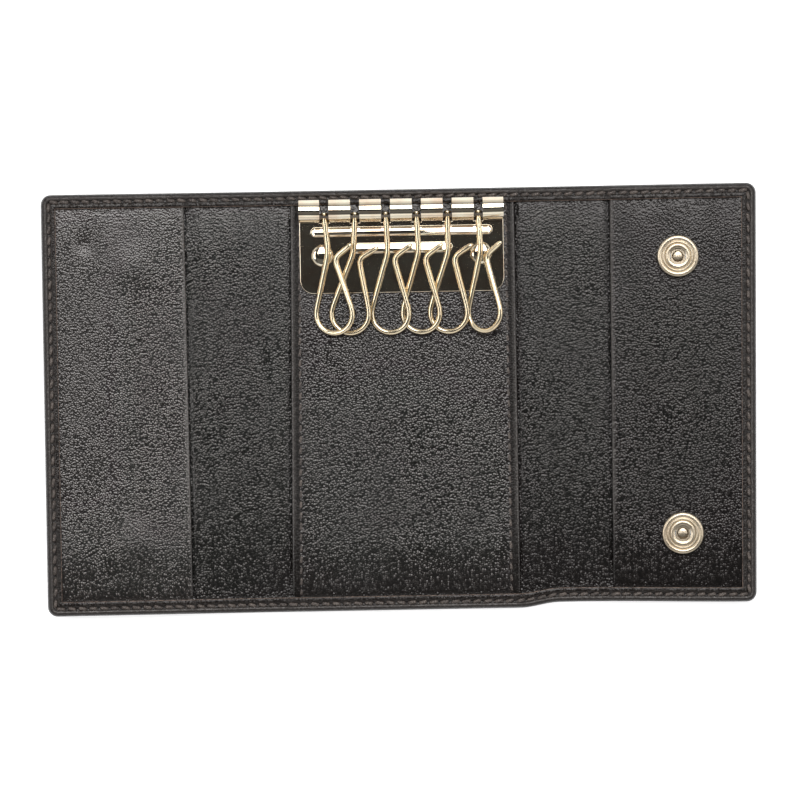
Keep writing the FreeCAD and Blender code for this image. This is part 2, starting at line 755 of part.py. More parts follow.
def key_hook(name):
    """The hook's own frame: the pivot is its origin, and the shank runs down its Y axis."""
    body = doc.addObject("PartDesign::Body", name)
    joints, bends = hook_path()
    top, _, left, right, _, tip = joints
    path = new_sketch(body, "XY_Plane", f"{name}_path")
    path.addGeometry(
        [
            Part.LineSegment(top, nearest_end(bends["upper"], top)),
            bends["upper"],
            Part.LineSegment(nearest_end(bends["upper"], left), left),
            bends["loop"],
            Part.LineSegment(right, nearest_end(bends["neck"], right)),
            bends["neck"],
            Part.LineSegment(nearest_end(bends["neck"], tip), tip),
        ]
    )
    section = new_sketch(body, "XZ_Plane", f"{name}_section")
    polygon(section, round_corners("Sizes.wire", WIRE_SIDES))
    wire = body.newObject("PartDesign::AdditivePipe", f"{name}_wire")
    wire.Profile = section
    wire.Spine = (path, [])
    reach = value("Sizes.wire / 2") + TOUCH

    def tip_edge(edge):
        return max(corner.Point.distanceToPoint(tip) for corner in edge.Vertexes) < reach

    dress_up("Chamfer", body, wire, f"{name}_tip", "Sizes.tip_bevel", tip_edge)
    head = new_sketch(body, "XZ_Plane", f"{name}_head_outline")
    polygon(head, round_corners("Sizes.hook_head_width", ROD_SIDES))
    head_pad = pad(body, head, f"{name}_head", "Sizes.hook_head")
    head_pad.Reversed = True
    return body


def hook_pivot(name):
    """The short bar that a hook swings on: full ends in the barrel, a flat with a hole at its middle."""
    length = "Sizes.slot_width + 2 * Sizes.pivot_engagement"
    bar = rod(f"{name}_bar", "Sizes.pivot_width", length)
    bar.Placement = spun(AXIS_Y, 90)
    place(bar, x=f"-({length}) / 2")
    flat = block(
        f"{name}_flat",
        "Sizes.slot_width",
        "Sizes.pivot_width",
        "2 * Sizes.pivot_width",
        "-Sizes.slot_width / 2",
        "-Sizes.head_clearance",
        "-Sizes.pivot_width",
    )
    hole_width = "Sizes.wire + 2 * Sizes.wire_hole_clearance"
    hole = rod(f"{name}_hole", hole_width, "2 * Sizes.pivot_width", across_flats=True)
    hole.Placement = spun(AXIS_X, 90)
    place(hole, y="Sizes.pivot_width")
    return cut(name, bar, [flat, hole])


def hook_places():
    """The place of each pivot and hook, with the loops resting on the panel."""
    slide = value(f"{BORE} - Sizes.pivot_width / 2 - Sizes.pivot_clearance")
    lift = math.radians(value("Sizes.pivot_lift_angle"))
    y = value(BARREL_Y) - slide * math.cos(lift)
    z = value(f"{PANEL_TOP} + Sizes.barrel_width / 2") + slide * math.sin(lift)
    pitch_step = value("Sizes.hook_pitch")
    for count, (lean, roll) in enumerate(zip(HOOK_LEANS, HOOK_ROLLS)):
        x = (count - (HOOK_COUNT - 1) / 2) * pitch_step
        lying = spun(AXIS_Z, lean) * spun(AXIS_Y, -roll)
        slope = loop_slope(lying, z - value(PANEL_TOP))
        pivot_spot = moved(x, y, z) * spun(AXIS_X, slope)
        yield count + 1, pivot_spot, pivot_spot * lying


def loop_slope(lying, height):
    """The slope, in degrees, that lays a hook's loop just above the panel, a given height below the pivot."""
    centre = lying.multVec(Vector(value("Sizes.loop_offset"), -value("Sizes.hook_reach"), 0))
    level = lying.Rotation.multVec(AXIS_Z)
    loop_radius = value("Sizes.loop_radius")
    room = height - value("Sizes.wire / 2 + Sizes.hook_rest_gap")
    slope = 0.0
    for _ in range(20):
        turn = Rotation(AXIS_X, slope)
        upright = turn.multVec(level).z
        low = turn.multVec(centre).z - loop_radius * math.sqrt(max(0.0, 1 - upright**2))
        slope += math.degrees((-room - low) / centre.y)
    return slope


def hooks():
    for count, pivot_spot, hook_spot in hook_places():
        node(hook_pivot(f"pivot_{count}"), f"hook_pivot_{count}", pivot_spot)
        node(key_hook(f"hook_{count}"), f"key_hook_{count}", hook_spot)


STUD_HOLES = {
    "outer": STUD_HOLE,
    "lining": "Sizes.stud_post_flange_width + 2 * Sizes.hole_clearance",
}
SOCKET_HOLES = {"outer": CAP_HOLE, "lining": CAP_HOLE, "panel": CAP_HOLE}

centre_leather()
wall_leather("left", LEFT_SIDE, "Sizes.left_wall")
wall_leather("right", RIGHT_SIDE, RIGHT_WALL)
flap_leather("left", LEFT_FLAP, "Sizes.left_flap", "Sizes.left_pocket_width", STUD_REACH, STUD_HOLES)
flap_leather("right", RIGHT_FLAP, "Sizes.right_flap", "Sizes.right_pocket_width", SOCKET_REACH, SOCKET_HOLES)
snap_pair("snap_studs", stud, LEFT_FLAP, STUD_REACH, "0", face_down=True)
snap_pair("stud_posts", stud_post, LEFT_FLAP, STUD_REACH, "Sizes.outer_leather")
snap_pair("snap_caps", cap, RIGHT_FLAP, SOCKET_REACH, "0")
snap_pair("snap_sockets", socket, RIGHT_FLAP, SOCKET_REACH, PANEL_TOP)
snap_pair("socket_springs", spring_wires, RIGHT_FLAP, SOCKET_REACH, PANEL_TOP)
hook_plate()
rivet_pair("plate_rivets", plate_rivet, PLATE_TOP)
rivet_pair("rivet_washers", washer, f"{LINING_TOP} - Sizes.washer_thickness")
hooks()

doc.recompute()
failed = [item.Name for item in doc.Objects if {"Invalid", "Error"} & set(item.State)]
failed += [item.Label for item in nodes if item.Shape.isNull() or not item.Shape.isValid()]
if failed:
    raise RuntimeError(f"these did not build: {failed}")

os.makedirs("parts", exist_ok=True)
for item in nodes:
    item.Shape.exportStep(f"parts/{item.Label}.step")
print(f"{len(nodes)} nodes, flap tilts {LEFT_TILT:.3f} and {RIGHT_TILT:.3f} degrees")
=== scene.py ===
import json
import math
import random

import bmesh
import bpy
import numpy as np
from mathutils import Matrix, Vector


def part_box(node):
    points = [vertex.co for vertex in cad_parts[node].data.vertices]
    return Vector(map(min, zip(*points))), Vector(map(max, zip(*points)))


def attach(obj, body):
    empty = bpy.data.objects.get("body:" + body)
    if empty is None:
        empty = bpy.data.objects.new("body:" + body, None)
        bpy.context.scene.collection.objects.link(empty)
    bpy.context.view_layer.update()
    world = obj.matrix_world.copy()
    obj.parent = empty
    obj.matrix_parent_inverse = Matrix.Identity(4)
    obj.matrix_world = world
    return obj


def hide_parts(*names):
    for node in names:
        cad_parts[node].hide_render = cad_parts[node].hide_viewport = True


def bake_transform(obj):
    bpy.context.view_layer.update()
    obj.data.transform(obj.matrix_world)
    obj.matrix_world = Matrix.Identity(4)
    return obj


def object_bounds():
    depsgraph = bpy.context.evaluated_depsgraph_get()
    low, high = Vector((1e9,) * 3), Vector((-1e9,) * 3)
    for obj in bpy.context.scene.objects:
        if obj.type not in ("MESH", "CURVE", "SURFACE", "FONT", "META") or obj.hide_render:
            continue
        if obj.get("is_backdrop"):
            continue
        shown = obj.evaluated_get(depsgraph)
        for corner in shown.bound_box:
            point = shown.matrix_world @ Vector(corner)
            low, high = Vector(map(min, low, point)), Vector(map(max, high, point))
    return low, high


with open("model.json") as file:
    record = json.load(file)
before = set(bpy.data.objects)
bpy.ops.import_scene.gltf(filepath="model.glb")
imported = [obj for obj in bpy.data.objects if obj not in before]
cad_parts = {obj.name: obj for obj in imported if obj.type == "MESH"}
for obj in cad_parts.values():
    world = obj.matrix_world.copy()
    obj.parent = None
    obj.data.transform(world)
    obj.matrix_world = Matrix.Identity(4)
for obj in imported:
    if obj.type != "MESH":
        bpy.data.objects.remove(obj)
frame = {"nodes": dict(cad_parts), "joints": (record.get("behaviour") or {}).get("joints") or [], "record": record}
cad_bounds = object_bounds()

MM = 0.001
# Places and heights that differ by less than this count as one, in millimetres
CLOSE = 0.01
scatter = random.Random(7)


def span(node, axis):
    """Where a CAD node begins and ends along an axis, in millimetres."""
    low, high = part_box(node)
    return low[axis] / MM, high[axis] / MM


def joint_named(name):
    return next(joint for joint in frame["joints"] if joint["name"] == name)


# Heights and lines of the leather, in millimetres, read from the frame
HALF_HEIGHT = span("outer_leather_centre", 1)[1]
CENTRE_FOLD = span("outer_leather_centre", 0)[1]
FOLD_LEVEL = span("outer_leather_centre", 2)[1]
LINING_TOP = span("lining_left_wall", 2)[1]
PANEL_TOP = span("centre_panel", 2)[1]
PANEL_EDGE = span("centre_panel", 0)[1]
PANEL_END = span("centre_panel", 1)[1]
BOARD_EDGE = span("centre_stiffener", 0)[1]

# The turned edge lies on the panels: its leather, corner, seam line with its groove, and shoulder
RIM_LEATHER = 0.5
RIM_WIDTH = HALF_HEIGHT - PANEL_END
CORNER = 2.5
CORNER_STEPS = 6
RIM_SEAM = 1.9
GROOVE = 0.45
RIM_SHOULDER = RIM_SEAM - 0.8
# Its section, from the raw edge round to the underside. Each point: inset from the case's edge, share of the
# rim's height, and a small rise.
RIM_SECTION = (
    (RIM_WIDTH, 1.0, -1.9),
    (RIM_WIDTH, 1.0, -RIM_LEATHER),
    (RIM_WIDTH, 1.0, -0.1),
    (RIM_WIDTH - 0.12, 1.0, 0.0),
    (RIM_SEAM + 0.85, 1.0, 0.04),
    (RIM_SEAM + GROOVE, 1.0, -0.12),
    (RIM_SEAM, 1.0, -0.32),
    (RIM_SEAM - GROOVE, 1.0, -0.18),
    (RIM_SHOULDER, 1.0, 0.08),
    (0.8, 1.0, 0.03),
    (0.45, 1.0, -0.16),
    (0.15, 0.72, 0.0),
    (0.0, 0.5, 0.0),
    (0.1, 0.25, 0.0),
    (0.4, 0.06, 0.0),
    (0.9, 0.0, 0.0),
    (RIM_SEAM - GROOVE, 0.0, 0.05),
    (RIM_SEAM, 0.0, 0.2),
    (RIM_SEAM + GROOVE, 0.0, 0.05),
    (RIM_SEAM + 2 * GROOVE, 0.0, 0.0),
    (RIM_WIDTH, 0.0, 0.0),
)
# From these points to the next ones the section is the leather's raw edge.
RAW_COLUMNS = (1, 2)
# The rim dips beside a panel: how far inside and outside the panel's edge the dip begins and ends
RIM_DIP = (0.5, 1.5)
# The shoulder is painted pale as a highlight: share and width. The outer edge is painted dark as shade from an
# inset on, and so is the seam's groove, by a share along it and a further one at its needle holes.
SHOULDER_HIGHLIGHT = 0.45
SHOULDER_HIGHLIGHT_WIDTH = 0.25
EDGE_SHADE_START = 0.2
SEAM_SHADE = (0.55, 0.45)

# The lower edge rises in a step between the folds, which starts and ends this far before them.
STEP_MARGINS = (0.5, 4.0)

# How the folds bend, how far panels reach under the rim, and how a panel's free edge rounds over, as inset
# and drop
BEND = 2.0
TUCK = 0.8
EDGE_ROUND = ((0.0, -0.66), (0.04, -0.34), (0.18, -0.1), (0.5, 0.0))
# Steps of the meshes: the skin's, and those across and down the lining and the panels
GRID_STEP = 0.675
LINING_STEPS = (0.5, 2.0)
PANEL_STEPS = (0.8, 1.2)
BOARD_STEP = 1.5
# The lining begins under the centre panel and ends under a pocket panel. It lies hollow under a panel's free
# edge: how far in, how wide and how deep. It rests on the skin, as the board does.
LINING_START = BOARD_EDGE - 1.5
LINING_LAP = 4.0
MOUTH_GAP = (0.4, 1.2, 0.4)
LINING_FLOOR = 0.15
BOARD_FLOOR = 0.1
BOARD_SKIVE = 0.15
# The leather slopes down to the rim, a little at its upper end and more at its lower one: width and depth
UPPER_SLOPE = (10.0, 0.3)
PANEL_SLOPE = (14.0, 1.15)
GUSSET_SLOPE = (32.0, 1.4)
SLOPE_LIMIT = 1.05
# Soft waves in the leather: pitch and depth. They sway, each sway with its reach and its turns across and down
# per millimetre, and they swell and fade by turns across and down.
LINING_RIPPLE = (4.3, 0.16)
PANEL_RIPPLE = (26.0, 0.3)
SWAYS = ((0.9, 0.07, 0.11), (0.6, 0.0, 0.23))
SWELL = (0.3, 0.045)
# A pocket panel is flat at its seams and loose from this far in. The lining sags beside it from this far off.
LOOSE_FROM = 8.0
SAG_RUN = 6.0
# A panel's free edge is painted pale as a highlight: share, inset, width, and where this fades in up the panel
EDGE_HIGHLIGHT = 0.35
EDGE_HIGHLIGHT_INSET = 0.4
EDGE_HIGHLIGHT_WIDTH = 0.3
EDGE_HIGHLIGHT_FADE = (-40.0, -24.0)
# Marks in the left pocket panel, each with its width and height: humps over the studs, and a dent at a
# place, which is painted dark as shade
STUD_HUMP = (3.4, 0.3)
DENT = ((79.0, 40.0), 1.2, -0.4)
DENT_SHADE = 2.2

# Stitches: pitch, length, thread, arch, how far they dive at their ends and how far they turn out of the seam
STITCH_PITCH = 2.7
STITCH_LENGTH = 2.35
THREAD = 0.9
STITCH_ARCH = 0.16
STITCH_DIVE = 2.6
STITCH_TURN = math.radians(11)
# How much lengths and turns differ from stitch to stitch
LENGTH_SPREAD = (0.92, 1.05)
TURN_SPREAD = (0.6, 1.4)
# A stitch's mesh: rings, sides, height of its section per width, and how it tapers at its ends
STITCH_RINGS = 7
STITCH_SIDES = 6
STITCH_FLATNESS = 0.8
STITCH_FULLNESS = 1.08
STITCH_POINT = 0.1
# How deep the stitches pull in at their holes, and how far they are sunk into the rim and the centre panel
STITCH_PULL = 0.3
RIM_SUNK = 0.3
PANEL_SUNK = 0.54
# The rim's seam, and the centre panel's: its inset, groove and the shade painted dark in the groove
SEAM_LEVEL = HALF_HEIGHT - RIM_SEAM
SEAM_INSET = 2.24
SEAM_DEPTH = 0.3
SEAM_WIDTH = 0.4
PANEL_SEAM_SHADE = 0.7
# The centre panel's strips of faces between its edge and its seam, which get a darker, duller leather as painted
# shade
SEAM_STRIPS = (3, 4)

# Snap fasteners: how far out on their flaps they sit, and their distance from the case's middle line
SOCKET_REACH = 26.85
STUD_REACH = 30.15
SNAP_LEVEL = 34.5


def smooth(start, end, x):
    """From 0 at start to 1 at end, with soft ends."""
    t = np.clip((x - start) / (end - start), 0.0, 1.0)
    return t * t * (3 - 2 * t)


def bell(x, centre, width):
    return np.exp(-(((x - centre) / width) ** 2))


def places(start, end, step):
    """Evenly spaced places from start to end, both included, about a step apart."""
    return np.linspace(start, end, max(2, round((end - start) / step) + 1))


class Side:
    """One half of the case. Its flat leather is measured outwards from the middle, in millimetres.

    Leans say how far each line's lower end lies to the right of its upper end, from the middle outwards.
    Rises are the lower edge's step and how far it falls again along the flap. Dish is how far the flap's
    leather is dished along its height."""

    def __init__(self, name, sign, flap_length, pocket_width, leans, rises, dish):
        self.name = name
        self.sign = sign
        self.leans = leans
        self.rises = rises
        self.dish = dish
        self.wall = f"{name}_wall"
        self.flap = f"{name}_flap"
        self.fold = max(abs(x) for x in span(f"outer_leather_{name}_wall", 0))
        self.end = self.fold + flap_length
        self.mouth = self.end - pocket_width
        self.split = (CENTRE_FOLD + self.fold) / 2
        self.tilt = math.radians(90 - joint_named(f"{name}_flap_fold")["range_deg"][1])
        self.lean_places = (0.0, PANEL_EDGE, self.mouth, self.end)
        self.seam_end = self.end - RIM_SEAM
        self.pitch_across = self.seam_end / round(self.seam_end / STITCH_PITCH)
        self.pitch_down = 2 * SEAM_LEVEL / round(2 * SEAM_LEVEL / STITCH_PITCH)

    def lay(self, x, y, z):
        """Points of the flat leather in their places at rest, a little askew, in metres."""
        x, y, z = np.broadcast_arrays(np.asarray(x, float), np.asarray(y, float), np.asarray(z, float))
        lean = np.interp(x, self.lean_places, self.leans)
        x = x - self.sign * lean * y / (2 * HALF_HEIGHT)
        step, slip = self.rises
        before, after = STEP_MARGINS
        rise = step * smooth(CENTRE_FOLD - before, self.fold - after, x)
        rise = rise - slip * smooth(self.fold, self.end, x)
        y = y + rise * smooth(HALF_HEIGHT / 3, HALF_HEIGHT, -y)
        return self.bend(x, y, z)

    def bend(self, x, y, z):
        """Points of the flat case with the flap turned up by its tilt, in metres."""
        out = x - self.fold
        lift = self.tilt * smooth(-BEND, BEND, out)
        up = z - FOLD_LEVEL
        flat = self.fold + out * np.cos(lift) - up * np.sin(lift)
        level = FOLD_LEVEL + out * np.sin(lift) + up * np.cos(lift)
        return np.stack(np.broadcast_arrays(self.sign * flat, y, level), axis=-1) * MM

    def rim_top(self, x):
        """The height of the turned edge, which dips where no panel lies under it."""
        inside, outside = RIM_DIP
        on_centre = 1 - smooth(PANEL_EDGE - inside, PANEL_EDGE + outside, x)
        on_pocket = smooth(self.mouth - outside, self.mouth + inside, x)
        return LINING_TOP + (PANEL_TOP - LINING_TOP) * np.maximum(on_centre, on_pocket) + RIM_LEATHER

    def needle(self, x, y):
        """How near a place along the rim's seam is to a needle hole, from 0 to 1."""
        across = np.abs(y) > HALF_HEIGHT - RIM_WIDTH - CLOSE
        turns = np.where(across, x / self.pitch_across, (y + SEAM_LEVEL) / self.pitch_down)
        return 0.5 + 0.5 * np.cos(2 * math.pi * turns)


MIDDLE_LEAN = -0.7
LEFT = Side(
    "left",
    sign=-1,
    flap_length=52.65,
    pocket_width=35.9,
    leans=(MIDDLE_LEAN, -1.3, 0.6, 0.0),
    rises=(0.0, 0.0),
    dish=0.45,
)
RIGHT = Side(
    "right",
    sign=1,
    flap_length=45.75,
    pocket_width=36.1,
    leans=(MIDDLE_LEAN, -0.15, -0.8, -1.65),
    rises=(1.3, 0.7),
    dish=-0.25,
)


# Materials


class Graph:
    """The shader nodes of a material or a world."""

    def __init__(self, owner):
        owner.use_nodes = True
        self.nodes = owner.node_tree.nodes
        self.links = owner.node_tree.links

    def feed(self, socket, source):
        """Link another node's socket to a socket, or set it to a number or a colour."""
        if isinstance(source, bpy.types.NodeSocket):
            self.links.new(source, socket)
        elif isinstance(source, tuple):
            socket.default_value = (*source, 1.0)
        else:
            socket.default_value = source

    def millimetres(self, stretch=(1.0, 1.0, 1.0)):
        """Object coordinates in millimetres."""
        place = self.nodes.new("ShaderNodeTexCoord")
        scale = self.nodes.new("ShaderNodeMapping")
        scale.inputs["Scale"].default_value = [part / MM for part in stretch]
        self.feed(scale.inputs["Vector"], place.outputs["Object"])
        return scale.outputs["Vector"]

    def noise(self, vector, scale, detail=3.0, roughness=0.55):
        item = self.nodes.new("ShaderNodeTexNoise")
        self.feed(item.inputs["Vector"], vector)
        self.feed(item.inputs["Scale"], scale)
        self.feed(item.inputs["Detail"], detail)
        self.feed(item.inputs["Roughness"], roughness)
        return item.outputs["Fac"]

    def pebbles(self, vector, size):
        """Cells of a size: how far a place is from its cell's middle, and a number that differs from cell to
        cell."""
        item = self.nodes.new("ShaderNodeTexVoronoi")
        self.feed(item.inputs["Vector"], vector)
        self.feed(item.inputs["Scale"], 1 / size)
        split = self.nodes.new("ShaderNodeSeparateColor")
        self.feed(split.inputs["Color"], item.outputs["Color"])
        return item.outputs["Distance"], split.outputs["Red"]

    def remap(self, source, between=(0.0, 1.0), to=(0.0, 1.0)):
        """A number that runs from one end of a range to the other as its source runs through a range."""
        item = self.nodes.new("ShaderNodeMapRange")
        self.feed(item.inputs["Value"], source)
        for name, number in zip(("From Min", "From Max", "To Min", "To Max"), (*between, *to)):
            self.feed(item.inputs[name], number)
        return item.outputs["Result"]

    def calculate(self, operation, first, second):
        item = self.nodes.new("ShaderNodeMath")
        item.operation = operation
        self.feed(item.inputs[0], first)
        self.feed(item.inputs[1], second)
        return item.outputs["Value"]

    def times(self, first, second):
        return self.calculate("MULTIPLY", first, second)

    def mix(self, share, first, second):
        """A colour between two, each a colour or a socket."""
        item = self.nodes.new("ShaderNodeMix")
        item.data_type = "RGBA"
        self.feed(item.inputs["Factor"], share)
        self.feed(item.inputs[6], first)
        self.feed(item.inputs[7], second)
        return item.outputs[2]

    def bump(self, height, strength, depth, normal=None):
        """A normal tipped by a height, whose depth is in millimetres."""
        item = self.nodes.new("ShaderNodeBump")
        self.feed(item.inputs["Height"], height)
        self.feed(item.inputs["Strength"], strength)
        self.feed(item.inputs["Distance"], depth * MM)
        if normal is not None:
            self.feed(item.inputs["Normal"], normal)
        return item.outputs["Normal"]

    def share(self, name):
        """A share that the mesh carries per point."""
        item = self.nodes.new("ShaderNodeAttribute")
        item.attribute_name = name
        return item.outputs["Fac"]


def new_material(name):
    """A material, its nodes and the inputs of its shader."""
    material = bpy.data.materials.new(name)
    graph = Graph(material)
    return material, graph, graph.nodes["Principled BSDF"].inputs


# The tones of painted highlights and of painted shade
HIGHLIGHT_TONE = (0.17, 0.155, 0.145)
SHADE_TONE = (0.010, 0.008, 0.0075)
WARM_SHEEN = (1.0, 0.96, 0.94)
CLOUD_SPAN = (0.3, 0.7)
GLOSS_SPREAD = 0.05
PEBBLE_DEPTH = 0.23


def leather(name, dark, light, grain, wrinkle, gloss, shine):
    """Grained leather: grain is the size of its pebbles in millimetres, wrinkle the depth of its creases.

    The meshes carry two shares: one where a highlight is painted pale, and paint, where shade is painted dark."""
    material, graph, shader = new_material(name)
    place = graph.millimetres()
    along = graph.millimetres(stretch=(1.0, 0.14, 1.0))
    clouds = graph.noise(place, scale=0.05, detail=4.0, roughness=0.6)
    creases = graph.noise(along, scale=0.6, detail=2.0, roughness=0.6)
    reach, lot = graph.pebbles(place, grain)
    dome = graph.remap(reach, between=(0.0, 0.7), to=(1.0, 0.0))
    height = graph.times(dome, graph.remap(lot, to=(0.3, 1.0)))
    tops = graph.times(height, graph.remap(clouds, between=CLOUD_SPAN, to=(0.5, 1.3)))
    # The pebbles are painted darker in the creases' troughs, as shade.
    tops = graph.times(tops, graph.remap(creases, between=(0.3, 0.6), to=(1 - 2 * wrinkle, 1.0)))
    # Painted highlights and painted shade from the meshes' shares.
    highlighted = graph.times(graph.share("painted_highlight"), graph.remap(lot, to=(0.4, 1.0)))
    tone = graph.mix(tops, dark, light)
    tone = graph.mix(highlighted, tone, HIGHLIGHT_TONE)
    tone = graph.mix(graph.share("paint"), tone, SHADE_TONE)
    graph.feed(shader["Base Color"], tone)
    rough = graph.remap(clouds, between=CLOUD_SPAN, to=(gloss + GLOSS_SPREAD, gloss - GLOSS_SPREAD))
    graph.feed(shader["Roughness"], rough)
    normal = graph.bump(creases, strength=0.8, depth=wrinkle)
    normal = graph.bump(height, strength=1.0, depth=PEBBLE_DEPTH * grain, normal=normal)
    graph.feed(shader["Normal"], normal)
    graph.feed(shader["Specular IOR Level"], shine)
    graph.feed(shader["Specular Tint"], WARM_SHEEN)
    return material


def metal(name, base, warm, rough, waves=0.0):
    """Polished plated metal with faint clouds, hairline scratches and, on sheet, a slight waviness."""
    material, graph, shader = new_material(name)
    along = graph.millimetres(stretch=(0.25, 6.0, 6.0))
    clouds = graph.noise(graph.millimetres(), scale=0.16)
    hairs = graph.noise(along, scale=1.4, roughness=0.7)
    graph.feed(shader["Base Color"], graph.mix(graph.remap(clouds, between=(0.4, 0.68)), base, warm))
    scuffed = graph.remap(hairs, between=(0.3, 0.8), to=(rough * 0.7, rough * 1.5))
    graph.feed(shader["Roughness"], scuffed)
    normal = graph.bump(hairs, strength=0.06, depth=0.02)
    if waves:
        normal = graph.bump(clouds, strength=1.0, depth=waves, normal=normal)
    graph.feed(shader["Normal"], normal)
    graph.feed(shader["Metallic"], 1.0)
    return material


def thread(name, dark, faded, ply_highlight, rough):
    """Twisted thread, faded in patches, with pale flecks painted on its plies as highlights."""
    material, graph, shader = new_material(name)
    place = graph.millimetres()
    plies = graph.noise(place, scale=4.0, detail=2.0)
    blotch = graph.noise(place, scale=0.3, detail=2.0)
    tone = graph.mix(graph.remap(blotch, between=(0.35, 0.65)), dark, faded)
    tone = graph.mix(graph.remap(plies, between=(0.5, 0.7), to=(0.0, 0.8)), tone, ply_highlight)
    graph.feed(shader["Base Color"], tone)
    graph.feed(shader["Normal"], graph.bump(plies, strength=0.6, depth=0.08))
    graph.feed(shader["Roughness"], rough)
    return material


def fibrous(name, dark, light, rough, scale):
    """A fibrous finish with a little variation."""
    material, graph, shader = new_material(name)
    fibre = graph.noise(graph.millimetres(), scale=scale, detail=4.0)
    graph.feed(shader["Base Color"], graph.mix(graph.remap(fibre, between=(0.35, 0.65)), dark, light))
    graph.feed(shader["Normal"], graph.bump(fibre, strength=0.3, depth=0.05))
    graph.feed(shader["Roughness"], rough)
    return material


OUTER = leather(
    "outer_leather",
    dark=(0.006, 0.0046, 0.0040),
    light=(0.034, 0.027, 0.022),
    grain=0.51,
    wrinkle=0.10,
    gloss=0.28,
    shine=0.34,
)
LINING = leather(
    "lining_leather",
    dark=(0.003, 0.0025, 0.0023),
    light=(0.027, 0.023, 0.020),
    grain=0.55,
    wrinkle=0.20,
    gloss=0.22,
    shine=0.58,
)
# A darker, less shiny copy of the lining leather for the right half: painted shade.
SHADED_LINING = leather(
    "shaded_lining_leather",
    dark=(0.003, 0.0024, 0.0022),
    light=(0.024, 0.020, 0.018),
    grain=0.55,
    wrinkle=0.20,
    gloss=0.22,
    shine=0.48,
)
PANEL = leather(
    "panel_leather",
    dark=(0.004, 0.0033, 0.0030),
    light=(0.033, 0.028, 0.025),
    grain=0.54,
    wrinkle=0.06,
    gloss=0.21,
    shine=0.68,
)
# A lighter, shinier copy of the panel leather for the left pocket: painted light.
LIT_PANEL = leather(
    "lit_panel_leather",
    dark=(0.005, 0.0042, 0.0038),
    light=(0.050, 0.041, 0.036),
    grain=0.50,
    wrinkle=0.06,
    gloss=0.22,
    shine=0.84,
)
# A darker, less shiny copy of the panel leather for the right pocket: painted shade.
SHADED_PANEL = leather(
    "shaded_panel_leather",
    dark=(0.003, 0.0024, 0.0022),
    light=(0.026, 0.021, 0.019),
    grain=0.54,
    wrinkle=0.06,
    gloss=0.21,
    shine=0.44,
)
# A darker, duller copy of the panel leather for the strips beside the centre panel's seams: painted shade.
SHADED_SEAM_LEATHER = leather(
    "shaded_seam_leather",
    dark=(0.004, 0.0033, 0.0030),
    light=(0.020, 0.017, 0.015),
    grain=0.50,
    wrinkle=0.06,
    gloss=0.34,
    shine=0.22,
)
RAW_EDGE = fibrous(
    "raw_leather_edge", dark=(0.030, 0.018, 0.013), light=(0.20, 0.14, 0.11), rough=0.7, scale=1.0
)
BOARD = fibrous("board", dark=(0.20, 0.16, 0.11), light=(0.30, 0.25, 0.18), rough=0.9, scale=0.8)
BROWN_THREAD = thread(
    "sewing_thread",
    dark=(0.018, 0.013, 0.011),
    faded=(0.060, 0.046, 0.038),
    ply_highlight=(0.24, 0.20, 0.175),
    rough=0.55,
)
PLATE_GOLD = metal(
    "polished_plate", base=(0.74, 0.67, 0.53), warm=(0.64, 0.50, 0.37), rough=0.07, waves=0.010
)
HOOK_GOLD = metal("hook_wire", base=(0.80, 0.69, 0.49), warm=(0.72, 0.58, 0.39), rough=0.17)
SNAP_GOLD = metal("snap_brass", base=(0.58, 0.50, 0.38), warm=(0.49, 0.40, 0.29), rough=0.32)
# The pivots are finished dark, which also stands in for the shade in the barrel's gaps.
PIVOT_STEEL = metal("pivot_steel", base=(0.22, 0.19, 0.16), warm=(0.16, 0.13, 0.11), rough=0.35)
HIDDEN_STEEL = metal("hidden_steel", base=(0.55, 0.54, 0.52), warm=(0.46, 0.45, 0.43), rough=0.30)


# Mesh helpers


def quads(rows, columns, skip=()):
    """Faces of a grid of points; no faces join a row in skip to the next one."""
    faces = []
    for row in range(rows - 1):
        if row in skip:
            continue
        for first in range(row * columns, (row + 1) * columns - 1):
            after = first + columns
            faces.append((first, after, after + 1, first + 1))
    return faces


def tube_faces(first, rings, sides):
    """Faces round a tube whose rings of points follow each other from a first point on."""
    faces = []
    for ring in range(rings - 1):
        low = first + ring * sides
        high = low + sides
        for step in range(sides):
            after = (step + 1) % sides
            faces.append((low + step, low + after, high + after, high + step))
    return faces


def end_faces(first, rings, sides):
    """The two faces that close such a tube."""
    last = first + (rings - 1) * sides
    return [tuple(first + step for step in reversed(range(sides))), tuple(range(last, last + sides))]


def new_piece(name, points, faces, materials, upwards=True, **shares):
    """A smooth-shaded mesh object, its points in metres, with a share per point for its material."""
    mesh = bpy.data.meshes.new(name)
    mesh.from_pydata(np.asarray(points).reshape(-1, 3).tolist(), [], faces)
    for material in materials:
        mesh.materials.append(material)
    for share, values in shares.items():
        attribute = mesh.attributes.new(share, "FLOAT", "POINT")
        attribute.data.foreach_set("value", np.asarray(values, np.float32).ravel())
    mesh.polygons.foreach_set("use_smooth", [True] * len(mesh.polygons))
    if not upwards:
        mesh.flip_normals()
    piece = bpy.data.objects.new(name, mesh)
    bpy.context.scene.collection.objects.link(piece)
    return piece


# Points nearer to each other than this are made one, in millimetres.
WELD = 0.002


def weld(piece):
    shape = bmesh.new()
    shape.from_mesh(piece.data)
    bmesh.ops.remove_doubles(shape, verts=shape.verts, dist=WELD * MM)
    shape.to_mesh(piece.data)
    shape.free()


def sharpen(mesh, degrees):
    """Shade the edges that turn by more than an angle as sharp ones."""
    mesh.set_sharp_from_angle(angle=math.radians(degrees))


def fold_over(piece):
    """Bake a piece's placement into its mesh."""
    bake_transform(piece)


def body_of(node):
    bodies = frame["record"]["behaviour"]["bodies"]
    return next(name for name, members in bodies.items() if node in members)


def stand_for(piece, node):
    """Let a piece take a CAD node's place and body; the node is hidden."""
    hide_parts(node)
    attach(piece, body_of(node))


# Outer leather: a skin under the case whose edge is turned up and over, all round


